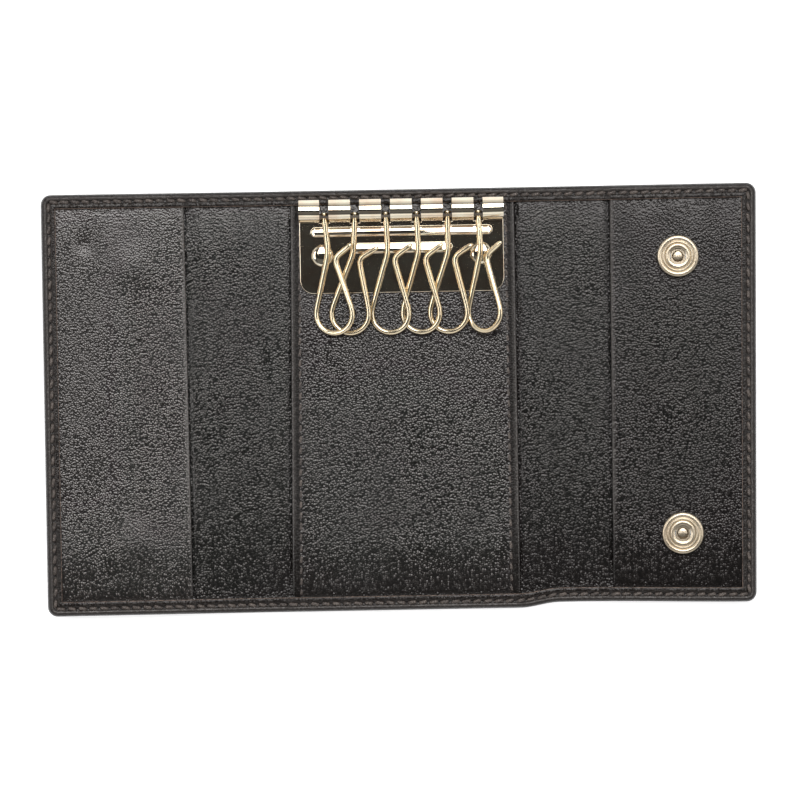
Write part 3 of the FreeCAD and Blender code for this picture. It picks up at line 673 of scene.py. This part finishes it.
def edge_run(start, stop, closed, inset):
    """The flat places of a skin's edge, moved in by inset: out along the top, round the end, back along the
    bottom. A skin that isn't closed has no end, and its two edges are separate."""
    edge = HALF_HEIGHT - inset
    if not closed:
        across = places(start, stop, GRID_STEP)
        top = [(x, edge) for x in across]
        return top + [(x, -edge) for x in across[::-1]]
    far = stop - inset
    turn = max(CORNER - inset, 0.0)
    hub_x = far - turn
    hub_y = edge - turn
    across = np.minimum(places(start, stop - CORNER, GRID_STEP), hub_x)
    down = np.clip(places(CORNER - HALF_HEIGHT, HALF_HEIGHT - CORNER, GRID_STEP), -hub_y, hub_y)[::-1]
    angles = np.linspace(math.pi / 2, 0, CORNER_STEPS + 1)[1:-1]
    top = [(x, edge) for x in across]
    upper = [(hub_x + turn * math.cos(angle), hub_y + turn * math.sin(angle)) for angle in angles]
    lower = [(x, -y) for x, y in upper[::-1]]
    bottom = [(x, -y) for x, y in top[::-1]]
    return top + upper + [(far, y) for y in down] + lower + bottom


def turned_edge(side, start, stop, closed):
    """The turned edge of a skin, a row of points round the section at each place along it, with its shares of
    painted highlight and painted shade."""
    columns, highlights, shaded = [], [], []
    along, at_hole = SEAM_SHADE
    for inset, share, rise in RIM_SECTION:
        x, y = np.array(edge_run(start, stop, closed, inset)).T
        hole = side.needle(x, y)
        # Painted shade on the outer edge and in the seam's groove and needle holes; a painted highlight on the
        # shoulder
        on_seam = bell(inset, RIM_SEAM, GROOVE)
        on_edge = 1 - smooth(EDGE_SHADE_START, RIM_SHOULDER, inset)
        on_shoulder = bell(inset, RIM_SHOULDER, SHOULDER_HIGHLIGHT_WIDTH)
        pull = STITCH_PULL if share else -STITCH_PULL
        level = share * side.rim_top(x) + rise - pull * on_seam * hole
        columns.append(side.lay(x, y, level))
        highlights.append(SHOULDER_HIGHLIGHT * on_shoulder + 0 * hole)
        shaded.append(np.maximum(on_edge, on_seam * (along + at_hole * hole)))
    return np.stack(columns, axis=1), np.stack(highlights, axis=1), np.stack(shaded, axis=1)


def skin(side, start, stop, closed):
    """One stretch of the outer leather: its turned edge, and a grid that closes its underside."""
    name = f"outer_skin_{side.name}_{'flap' if closed else 'centre'}"
    rim, highlights, shaded = turned_edge(side, start, stop, closed)
    rows, width = rim.shape[:2]
    inmost = np.array(edge_run(start, stop, closed, RIM_WIDTH))
    across = len(places(start, stop - CORNER if closed else stop, GRID_STEP))
    if closed:
        down = np.unique(inmost[across:-across, 1])
    else:
        down = places(inmost[-1, 1], inmost[0, 1], GRID_STEP)
    x, y = np.meshgrid(np.unique(inmost[:across, 0]), down, indexing="ij")
    faces = quads(rows, width, () if closed else (across - 1,))
    strips = len(faces) // (width - 1)
    faces += [tuple(rows * width + corner for corner in face) for face in quads(*x.shape)]
    points = np.concatenate([rim.reshape(-1, 3), side.lay(x, y, 0.0).reshape(-1, 3)])
    bare = np.zeros(x.size)
    shares = {"painted_highlight": np.append(highlights.ravel(), bare), "paint": np.append(shaded.ravel(), bare)}
    piece = new_piece(name, points, faces, [OUTER, RAW_EDGE], side.sign < 0, **shares)
    for strip in range(strips):
        for column in RAW_COLUMNS:
            piece.data.polygons[strip * (width - 1) + column].material_index = 1
    weld(piece)
    fold_over(piece)
    return piece


# Lining and panels


def leaf(across, step):
    """Flat places of a leather that goes under the rim at its upper and lower end."""
    return np.meshgrid(across, places(-PANEL_END - TUCK, PANEL_END + TUCK, step), indexing="ij")


def ripple(x, y, pitch, depth):
    """Soft uneven waves that run up and down the leather."""
    sway = sum(reach * np.sin(y * down + x * across) for reach, across, down in SWAYS)
    across, down = SWELL
    return depth * (np.sin((x + sway) * 2 * math.pi / pitch) * np.sin(y * down + x * across) - 1) / 2


def slope(y, lower):
    """How far the leather lies below its level at a place from its middle line."""
    drop = 0.0
    for out, (width, depth) in ((y, UPPER_SLOPE), (-y, lower)):
        drop = drop + depth * np.clip((out - PANEL_END + width) / width, 0, SLOPE_LIMIT) ** 2
    return -drop


def lining(side, material, start, stop, outer):
    """One stretch of a side's lining, over its outer or its inner fold."""
    name = f"lining_{side.name}_{'outer' if outer else 'inner'}"
    step_across, step_down = LINING_STEPS
    x, y = leaf(places(start, stop, step_across), step_down)
    inset, width, depth = MOUTH_GAP
    hollow = bell(x, side.mouth + inset, width) + bell(x, PANEL_EDGE - inset, width)
    z = LINING_TOP + ripple(x, y, *LINING_RIPPLE) + slope(y, GUSSET_SLOPE) - depth * hollow
    sag = max(side.dish, 0) * smooth(side.mouth - SAG_RUN, side.mouth, x)
    z = np.maximum(z - sag * (1 - (y / PANEL_END) ** 2), LINING_FLOOR)
    piece = new_piece(name, side.lay(x, y, z), quads(*x.shape), [material], side.sign > 0)
    fold_over(piece)
    return piece


def rounded_edge(x, edge):
    """The drop of a panel beside its free edge; x counts from the edge inwards."""
    insets, drops = zip(*EDGE_ROUND)
    return np.interp(x - edge, insets, drops)


def panel_columns(edge, stop):
    """Places across a panel from its free edge inwards, close together where the edge rounds over."""
    insets = [inset for inset, drop in EDGE_ROUND]
    return np.concatenate([np.add(edge, insets[:-1]), places(edge + insets[-1], stop, PANEL_STEPS[0])])


def edge_highlight(inset, y):
    """How strong the painted highlight is at an inset from a panel's free edge."""
    return EDGE_HIGHLIGHT * bell(inset, EDGE_HIGHLIGHT_INSET, EDGE_HIGHLIGHT_WIDTH) * smooth(*EDGE_HIGHLIGHT_FADE, y)


def hump(x, y, place, width, height):
    return height * np.exp(-((x - place[0]) ** 2 + (y - place[1]) ** 2) / (2 * width**2))


def pocket_panel(side, material, marks):
    """The panel sewn to a flap on three sides; marks are its small humps and dents."""
    end = side.end - RIM_WIDTH
    x, y = leaf(panel_columns(side.mouth, end + TUCK), PANEL_STEPS[1])
    loose = smooth(0, LOOSE_FROM, end - x) * smooth(0, LOOSE_FROM, PANEL_END - abs(y))
    z = PANEL_TOP + rounded_edge(x, side.mouth) + slope(y, PANEL_SLOPE) + loose * ripple(x, y, *PANEL_RIPPLE)
    z = z - side.dish * (1 - np.minimum(y / PANEL_END, 1.0) ** 2)
    # A dent is painted dark in its hollow, as shade.
    dent_shade = 0 * z
    for place, width, height in marks:
        z = z + hump(x, y, place, width, height)
        dent_shade = dent_shade + hump(x, y, place, width, max(-DENT_SHADE * height, 0.0))
    name = f"{side.name}_pocket_leather"
    shares = {"painted_highlight": edge_highlight(x - side.mouth, y), "paint": dent_shade}
    piece = new_piece(name, side.lay(x, y, z), quads(*x.shape), [material], side.sign > 0, **shares)
    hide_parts(f"{side.name}_pocket_panel")
    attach(piece, side.flap)


def centre_panel():
    """The panel sewn over the board along both sides, with its seams pulled in."""
    half = panel_columns(-PANEL_EDGE, 0.0)
    x, y = leaf(np.concatenate([half, -half[-2::-1]]), GRID_STEP)
    out = abs(x)
    on_seam = bell(out, PANEL_EDGE - SEAM_INSET, SEAM_WIDTH)
    z = PANEL_TOP + rounded_edge(-out, -PANEL_EDGE) + slope(y, PANEL_SLOPE) - SEAM_DEPTH * on_seam
    points = np.where(x[..., None] < 0, LEFT.lay(out, y, z), RIGHT.lay(out, y, z))
    # Its free edges get a painted highlight, and its seams' grooves painted shade.
    shares = {"painted_highlight": edge_highlight(PANEL_EDGE - out, y), "paint": PANEL_SEAM_SHADE * on_seam}
    piece = new_piece("centre_leather", points, quads(*x.shape), [PANEL, SHADED_SEAM_LEATHER], True, **shares)
    strips = x.shape[0] - 1
    for count, face in enumerate(piece.data.polygons):
        strip = count // (x.shape[1] - 1)
        if min(strip, strips - 1 - strip) in SEAM_STRIPS:
            face.material_index = 1
    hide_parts("centre_panel")
    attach(piece, "centre")


def board():
    """The stiff board under the centre panel, which slopes with it."""
    low, high = span("centre_stiffener", 2)
    reach = span("centre_stiffener", 1)[1]
    inner = BOARD_EDGE - BOARD_SKIVE
    half = [
        (inner, low),
        (BOARD_EDGE, low + BOARD_SKIVE),
        (BOARD_EDGE, high - BOARD_SKIVE),
        (inner, high),
    ]
    section = half + [(-x, z) for x, z in reversed(half)]
    rings = []
    for y in places(-reach, reach, BOARD_STEP):
        drop = float(slope(y, PANEL_SLOPE)) - BOARD_SKIVE
        rings.append([(x, y, max(z + drop, BOARD_FLOOR)) for x, z in section])
    tube = (0, len(rings), len(section))
    faces = tube_faces(*tube) + end_faces(*tube)
    piece = new_piece("stiff_board", np.array(rings) * MM, faces, [BOARD], False)
    sharpen(piece.data, degrees=30)
    stand_for(piece, "centre_stiffener")


# Stitching


def stitch(side, x, y, z, heading, up):
    """Points of one stitch: a short thread arched out of the leather, up or down, a little askew."""
    askew = heading + STITCH_TURN * scatter.uniform(*TURN_SPREAD)
    length = STITCH_LENGTH * scatter.uniform(*LENGTH_SPREAD)
    out = np.linspace(-1, 1, STITCH_RINGS)[:, None]
    turn = np.linspace(0, 2 * math.pi, STITCH_SIDES, endpoint=False)[None, :]
    width = THREAD / 2 * np.sqrt(np.clip(STITCH_FULLNESS - out**6, STITCH_POINT, 1.0))
    across = width * np.cos(turn)
    rise = up * STITCH_ARCH * (1 - STITCH_DIVE * out**4) + STITCH_FLATNESS * width * np.sin(turn)
    run = length / 2 * out + 0 * turn
    return side.lay(
        x + run * math.cos(askew) - across * math.sin(askew),
        y + run * math.sin(askew) + across * math.cos(askew),
        z + rise,
    )


def seam(name, side, spots, body=None):
    """Stitches at spots, each a flat place, a height, a heading and up or down, as one piece.

    It rides on a body, or else stays where it is built, its placement baked into its mesh."""
    points, faces = [], []
    for spot in spots:
        tube = (len(points), STITCH_RINGS, STITCH_SIDES)
        points.extend(stitch(side, *spot).reshape(-1, 3))
        faces += tube_faces(*tube) + end_faces(*tube)
    piece = new_piece(name, points, faces, [BROWN_THREAD], side.sign > 0)
    if body is None:
        fold_over(piece)
    else:
        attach(piece, body)


def rim_spots(side):
    """Where the rim's stitches lie on a side, out along it and round its end, inside and outside."""
    lines = []
    for step in range(round(side.seam_end / side.pitch_across)):
        x = (step + 0.5) * side.pitch_across
        lines += [(x, SEAM_LEVEL, 0.0), (x, -SEAM_LEVEL, 0.0)]
    for step in range(round(2 * SEAM_LEVEL / side.pitch_down)):
        y = (step + 0.5) * side.pitch_down - SEAM_LEVEL
        lines.append((side.seam_end, y, math.pi / 2))
    for x, y, heading in lines:
        yield x, y, float(side.rim_top(x)) - RIM_SUNK, heading, 1
        yield x, y, RIM_SUNK, heading, -1


def panel_spots():
    """Where the stitches of a side seam of the centre panel lie."""
    x = PANEL_EDGE - SEAM_INSET
    count = round(2 * PANEL_END / STITCH_PITCH)
    for step in range(count):
        y = ((step + 0.5) / count * 2 - 1) * PANEL_END
        yield x, y, PANEL_TOP + float(slope(y, PANEL_SLOPE)) - PANEL_SUNK, math.pi / 2, 1


def sew(side):
    spots = list(rim_spots(side))
    flap_spots = [spot for spot in spots if spot[0] > side.split]
    centre_spots = [spot for spot in spots if spot[0] <= side.split]
    seam(f"rim_stitches_{side.name}_flap", side, flap_spots)
    seam(f"rim_stitches_{side.name}_centre", side, centre_spots)
    seam(f"panel_stitches_{side.name}", side, panel_spots(), body="centre")


def case_leather(side, panel, liner, marks=()):
    """The skin, lining, pocket panel and stitches of one half of the case."""
    flap_skin = skin(side, side.split, side.end, closed=True)
    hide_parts(f"outer_leather_{side.name}_flap")
    centre_skin = skin(side, 0.0, side.split, closed=False)
    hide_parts(f"outer_leather_{side.name}_wall")
    outer_lining = lining(side, liner, side.split, side.mouth + LINING_LAP, outer=True)
    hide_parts(f"lining_{side.name}_flap")
    inner_lining = lining(side, liner, LINING_START, side.split, outer=False)
    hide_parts(f"lining_{side.name}_wall")
    if side is RIGHT:
        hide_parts("outer_leather_centre")
        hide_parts("lining_seam_tabs")
    pocket_panel(side, panel, marks)
    sew(side)


# Hook plate and key hooks

# The plate: the level of its sheet, its stamped beads (how high they stand, where their crests begin, how wide
# these are and how they slope), how far the sheet's edges are broken, and how sharp these edges are at least
SHEET_TOP = 2.9
BEAD_HEIGHT = 0.6
CREST_FRONTS = (37.2, 41.5)
CREST_WIDTH = 1.4
CREST_SLOPE = 0.16
EDGE_BREAK = 0.24
EDGE_ANGLE = math.radians(60)
# Points of the plate's CAD mesh that count as one, in millimetres, and faces that count as flat
PLATE_WELD = 0.003
FLAT_ANGLE = math.radians(1)


def is_level(vertex, height):
    return abs(vertex.co.z / MM - height) < CLOSE


def is_sheet_edge(edge):
    level = all(is_level(vertex, SHEET_TOP) for vertex in edge.verts)
    return level and edge.calc_face_angle(0.0) > EDGE_ANGLE


def key_plate():
    """The plate's own shape, smooth-shaded, with sloping beads and the outer edges of its sheet broken."""
    shape = bmesh.new()
    shape.from_mesh(frame["nodes"]["key_plate"].data)
    bmesh.ops.remove_doubles(shape, verts=shape.verts, dist=PLATE_WELD * MM)
    bmesh.ops.dissolve_limit(shape, angle_limit=FLAT_ANGLE, verts=shape.verts, edges=shape.edges)
    for vertex in shape.verts:
        for front in CREST_FRONTS:
            over = vertex.co.y / MM - front
            if is_level(vertex, SHEET_TOP + BEAD_HEIGHT) and 0 < over < CREST_WIDTH:
                vertex.co.z -= CREST_SLOPE * over * MM
    edges = [edge for edge in shape.edges if is_sheet_edge(edge)]
    bmesh.ops.bevel(shape, geom=edges, offset=EDGE_BREAK * MM, segments=3, profile=0.5, affect="EDGES")
    mesh = bpy.data.meshes.new("key_plate_bright")
    shape.to_mesh(mesh)
    shape.free()
    mesh.materials.clear()
    mesh.materials.append(PLATE_GOLD)
    mesh.shade_smooth()
    sharpen(mesh, degrees=40)
    piece = bpy.data.objects.new("key_plate_bright", mesh)
    bpy.context.scene.collection.objects.link(piece)
    flat = piece.modifiers.new("flat_faces", "WEIGHTED_NORMAL")
    flat.keep_sharp = True
    flat.weight = 100
    stand_for(piece, "key_plate")


# A hook's wire and its route, in the hook's own frame with the pivot at the origin and the shank down the Y
# axis
WIRE = 1.32
WIRE_SIDES = 16
SHANK_END = (0.45, -9.5)
LOOP_CENTRE = (0.95, -24.8)
LOOP_RADIUS = 4.8
LOOP_POINTS = 60
NECK = (1.9, -10.8)
TIP_LENGTH = 6.0
TIP_ANGLE = math.radians(35)
TIP_ROUNDING = 80
# The step of the points along the wire, and the steps on either side that each is eased over
WIRE_STEP = 0.3
EASE_STEPS = 9
# The nail head in the barrel: heights and radii
NAIL_HEAD = ((0.62, 0.0), (0.62, 0.5), (0.56, 0.8), (0.42, 0.95), (0.12, 0.95), (0.0, 0.84))
# How each hook lies on the panel: its lean to the side, its roll about the shank and its slope, in degrees
HOOK_POSES = (
    (2.8, 17.0, 3.017),
    (-5.8, 10.5, 4.004),
    (-0.4, 10.5, 3.934),
    (-0.3, 12.0, 3.732),
    (-2.3, 11.0, 3.888),
    (0.8, 34.0, 0.707),
)


def touch(point, side):
    """The turn round the loop at which a straight run from a point meets it."""
    away = np.subtract(point, LOOP_CENTRE)
    return math.atan2(away[1], away[0]) + side * math.acos(LOOP_RADIUS / np.hypot(*away))


def hook_line():
    """The wire's centre line: shank, loop, gate leg and flared tip, eased at every bend."""
    turns = np.linspace(touch(SHANK_END, 1), touch(NECK, -1) + 2 * math.pi, LOOP_POINTS)
    loop = np.stack([np.cos(turns), np.sin(turns)], axis=1) * LOOP_RADIUS + LOOP_CENTRE
    tip = np.add(NECK, TIP_LENGTH * np.array([math.cos(TIP_ANGLE), math.sin(TIP_ANGLE)]))
    corners = np.concatenate([[(0, 0), SHANK_END], loop, [NECK, tip]])
    lengths = np.concatenate([[0], np.cumsum(np.hypot(*np.diff(corners, axis=0).T))])
    margin = EASE_STEPS * WIRE_STEP
    at = np.arange(-margin, lengths[-1] + margin, WIRE_STEP)
    inside = np.clip(at, 0, lengths[-1])
    line = np.stack([np.interp(inside, lengths, corners[:, axis]) for axis in (0, 1)], axis=1)
    ends = (corners[1] - corners[0], corners[-1] - corners[-2])
    for over, end in zip((np.minimum(at, 0), np.maximum(at - lengths[-1], 0)), ends):
        line += over[:, None] * end / np.hypot(*end)
    weights = np.hanning(2 * EASE_STEPS + 3)[1:-1]
    weights /= weights.sum()
    return np.stack([np.convolve(line[:, axis], weights, "valid") for axis in (0, 1)], axis=1)


def turn_about(axis, degrees):
    return np.array(Matrix.Rotation(math.radians(degrees), 3, axis))


def key_hook(count, lean, roll, pitch):
    """A hook lying on the panel: round wire along its line, with a nail head in the barrel."""
    around = np.linspace(0, 2 * math.pi, WIRE_SIDES, endpoint=False)[:, None]
    line = hook_line()
    ahead = np.gradient(line, axis=0)
    ahead /= np.hypot(*ahead.T)[:, None]
    beside = np.stack([-ahead[:, 1], ahead[:, 0]], axis=1)
    radii = WIRE / 2 * np.sqrt(1 - np.linspace(0, 1, len(line)) ** TIP_ROUNDING)
    rings = []
    for height, radius in NAIL_HEAD:
        rings.append(np.hstack([radius * np.cos(around), 0 * around + height, radius * np.sin(around)]))
    for spot, across, radius in zip(line, beside, radii):
        flat = spot + radius * np.cos(around) * across
        rings.append(np.hstack([flat, radius * np.sin(around)]))
    pose = turn_about("X", pitch) @ turn_about("Z", lean) @ turn_about("Y", -roll)
    pivot = np.array(joint_named(f"hook_{count}_swing")["pos_m"])
    points = np.concatenate(rings) * MM @ pose.T + pivot
    faces = tube_faces(0, len(rings), WIRE_SIDES)
    node = f"key_hook_{count}"
    piece = new_piece(f"{node}_wire", points, faces, [HOOK_GOLD], False)
    weld(piece)
    sharpen(piece.data, degrees=50)
    stand_for(piece, node)


# Snaps and rivets, turned from sections of radius and height

TURNED_SIDES = 64
SOCKET_SECTION = (
    (5.15, 0.0), (5.15, 1.4), (5.08, 1.66), (4.9, 1.8), (4.6, 1.88), (4.25, 1.86),
    (4.1, 1.74), (3.98, 1.62), (3.88, 1.64), (3.78, 1.8), (3.6, 1.88), (3.42, 1.84),
    (3.32, 1.68), (3.22, 1.62), (3.12, 1.74), (2.95, 1.87), (2.6, 1.86), (2.2, 1.8),
    (2.02, 1.7), (2.02, 1.66), (2.95, 1.6), (3.0, 1.4), (3.0, 0.32), (0.0, 0.32),
)
CAP_SHELL = (
    (5.5, 0.0), (5.45, -0.14), (5.2, -0.32), (4.6, -0.53),
    (3.6, -0.72), (2.2, -0.85), (1.0, -0.89), (0.0, -0.9),
)
CAP_RIVET = ((1.45, 0.0), (1.45, 0.36), (1.38, 0.52), (1.1, 0.66), (0.7, 0.74), (0.3, 0.77), (0.0, 0.77))
STUD_SECTION = (
    (4.2, 0.0), (4.2, -0.28), (4.08, -0.44), (3.8, -0.5), (2.1, -0.52),
    (1.75, -0.62), (1.6, -0.8), (1.6, -1.3), (1.74, -1.44), (1.88, -1.5),
    (1.9, -1.6), (1.72, -1.8), (0.9, -1.8), (0.74, -1.7), (0.0, -1.68),
)
# The dome's section is in shares of its radius and height.
DOME_SECTION = ((1.0, 0.0), (0.985, 0.2), (0.92, 0.45), (0.78, 0.7), (0.56, 0.88), (0.3, 0.97), (0.0, 1.0))


def turned(node, material, side, spots, sections):
    """Turned metal at spots on a side, each section spun round the spot's axis."""
    angles = np.linspace(0, 2 * math.pi, TURNED_SIDES, endpoint=False)
    points, faces = [], []
    for x, y in spots:
        for section in sections:
            faces += tube_faces(len(points), len(section), TURNED_SIDES)
            for radius, z in section:
                points.extend(side.bend(x + radius * np.cos(angles), y + radius * np.sin(angles), z))
    piece = new_piece(f"{node}_turned", points, faces, [material], side.sign > 0)
    weld(piece)
    sharpen(piece.data, degrees=50)
    stand_for(piece, node)


def raised(section, base):
    return [(radius, base + height) for radius, height in section]


def snap_spots(x):
    return [(x, SNAP_LEVEL), (x, -SNAP_LEVEL)]


def snaps():
    sockets = snap_spots(RIGHT.fold + SOCKET_REACH)
    studs = snap_spots(LEFT.fold + STUD_REACH)
    turned("snap_sockets", SNAP_GOLD, RIGHT, sockets, [raised(SOCKET_SECTION, PANEL_TOP)])
    turned("snap_caps", SNAP_GOLD, RIGHT, sockets, [CAP_SHELL, raised(CAP_RIVET, PANEL_TOP)])
    turned("snap_studs", SNAP_GOLD, LEFT, studs, [STUD_SECTION])


def plate_rivets():
    low, high = span("plate_rivets", 1)
    radius = (high - low) / 2
    far = span("plate_rivets", 0)[1] - radius
    height = span("plate_rivets", 2)[1] - SHEET_TOP
    section = [(share * radius, SHEET_TOP + rise * height) for share, rise in DOME_SECTION]
    spots = [(far, low + radius), (-far, low + radius)]
    turned("plate_rivets", PLATE_GOLD, RIGHT, spots, [section])


def paint(node, material):
    """Give a CAD node that stays as it is a material."""
    frame["nodes"][node].data.materials.clear()
    frame["nodes"][node].data.materials.append(material)


# Build the case

stud_humps = [(spot, *STUD_HUMP) for spot in snap_spots(LEFT.fold + STUD_REACH)]
case_leather(LEFT, LIT_PANEL, LINING, [*stud_humps, DENT])
case_leather(RIGHT, SHADED_PANEL, SHADED_LINING)
centre_panel()
board()
snaps()
plate_rivets()
key_plate()
for count, pose in enumerate(HOOK_POSES, start=1):
    key_hook(count, *pose)
    paint(f"hook_pivot_{count}", PIVOT_STEEL)
for hidden in ("socket_springs", "stud_posts", "rivet_washers"):
    paint(hidden, HIDDEN_STEEL)


# Floor, light and camera, in metres

FLOOR_REACH = 6.0
FLOOR_GREY = (0.6, 0.6, 0.6)
FLOOR_ROUGHNESS = 0.9
FLOOR_GLOW = 0.7
WHITE = (1.0, 1.0, 1.0)


def floor():
    """A white floor that keeps the case's soft shadow."""
    material, graph, shader = new_material("white_floor")
    graph.feed(shader["Base Color"], FLOOR_GREY)
    graph.feed(shader["Roughness"], FLOOR_ROUGHNESS)
    rays = graph.nodes.new("ShaderNodeLightPath").outputs
    seen = graph.calculate("MAXIMUM", rays["Is Camera Ray"], rays["Is Glossy Ray"])
    seen = graph.calculate("MAXIMUM", seen, rays["Is Transmission Ray"])
    graph.feed(shader["Emission Strength"], graph.times(seen, FLOOR_GLOW))
    graph.feed(shader["Emission Color"], WHITE)
    corners = [
        (-FLOOR_REACH, -FLOOR_REACH, 0),
        (FLOOR_REACH, -FLOOR_REACH, 0),
        (FLOOR_REACH, FLOOR_REACH, 0),
        (-FLOOR_REACH, FLOOR_REACH, 0),
    ]
    new_piece("floor", corners, [(0, 1, 2, 3)], [material])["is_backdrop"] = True


# The room's walls turn into its ceiling between these heights on the sphere of directions.
CEILING = (0.03, 0.03, 0.03)
CEILING_SPAN = (0.25, 0.85)


def studio_world():
    """A soft room: pale walls, a dark ceiling."""
    world = bpy.data.worlds.new("studio")
    bpy.context.scene.world = world
    graph = Graph(world)
    place = graph.nodes.new("ShaderNodeTexCoord")
    split = graph.nodes.new("ShaderNodeSeparateXYZ")
    graph.feed(split.inputs["Vector"], place.outputs["Generated"])
    height = graph.remap(split.outputs["Z"], between=CEILING_SPAN)
    graph.feed(graph.nodes["Background"].inputs["Color"], graph.mix(height, WHITE, CEILING))


# Softboxes: radiance, then the left, right, front and back edges
SOFTBOX_HEIGHT = 1.3
SOFTBOXES = {
    "back_softbox": (6.4, -0.36, 0.54, 0.20, 1.20),
    "front_softbox": (0.12, -0.60, 0.60, -0.75, -0.12),
    "far_front_softbox": (0.8, -1.00, 1.00, -2.40, -1.15),
    "left_softbox": (4.0, -1.50, -0.80, -0.30, 0.60),
    "right_softbox": (3.0, 0.90, 1.50, -0.30, 0.60),
}


def softbox(name, radiance, left, right, front, back):
    """A lamp that faces straight down, between two places across and two along the case."""
    data = bpy.data.lights.new(name, "AREA")
    data.shape = "RECTANGLE"
    data.size = right - left
    data.size_y = back - front
    data.energy = radiance * math.pi * data.size * data.size_y
    lamp = bpy.data.objects.new(name, data)
    lamp.location = ((left + right) / 2, (front + back) / 2, SOFTBOX_HEIGHT)
    bpy.context.scene.collection.objects.link(lamp)


# The photograph: millimetres per pixel at the panels, width in pixels, roll, middle and the camera's height
PHOTO_SCALE = 0.2494
PHOTO_WIDTH = 800
PHOTO_ROLL = math.radians(-1.04)
VIEW_CENTRE = (-0.0011, -0.0001)
CAMERA_HEIGHT = 1.2


def overhead_camera():
    data = bpy.data.cameras.new("camera")
    view_width = PHOTO_SCALE * PHOTO_WIDTH * MM
    data.sensor_fit = "HORIZONTAL"
    data.lens = data.sensor_width * (CAMERA_HEIGHT - PANEL_TOP * MM) / view_width
    camera = bpy.data.objects.new("camera", data)
    camera.location = (*VIEW_CENTRE, CAMERA_HEIGHT)
    camera.rotation_euler = (0, 0, PHOTO_ROLL)
    bpy.context.scene.collection.objects.link(camera)
    bpy.context.scene.camera = camera


floor()
studio_world()
for name, lamp in SOFTBOXES.items():
    softbox(name, *lamp)
overhead_camera()
bpy.context.scene.view_settings.view_transform = "Standard"

boxes = {"cad": cad_bounds, "visual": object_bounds()}
{name: [list(corner) for corner in box] for name, box in boxes.items()}
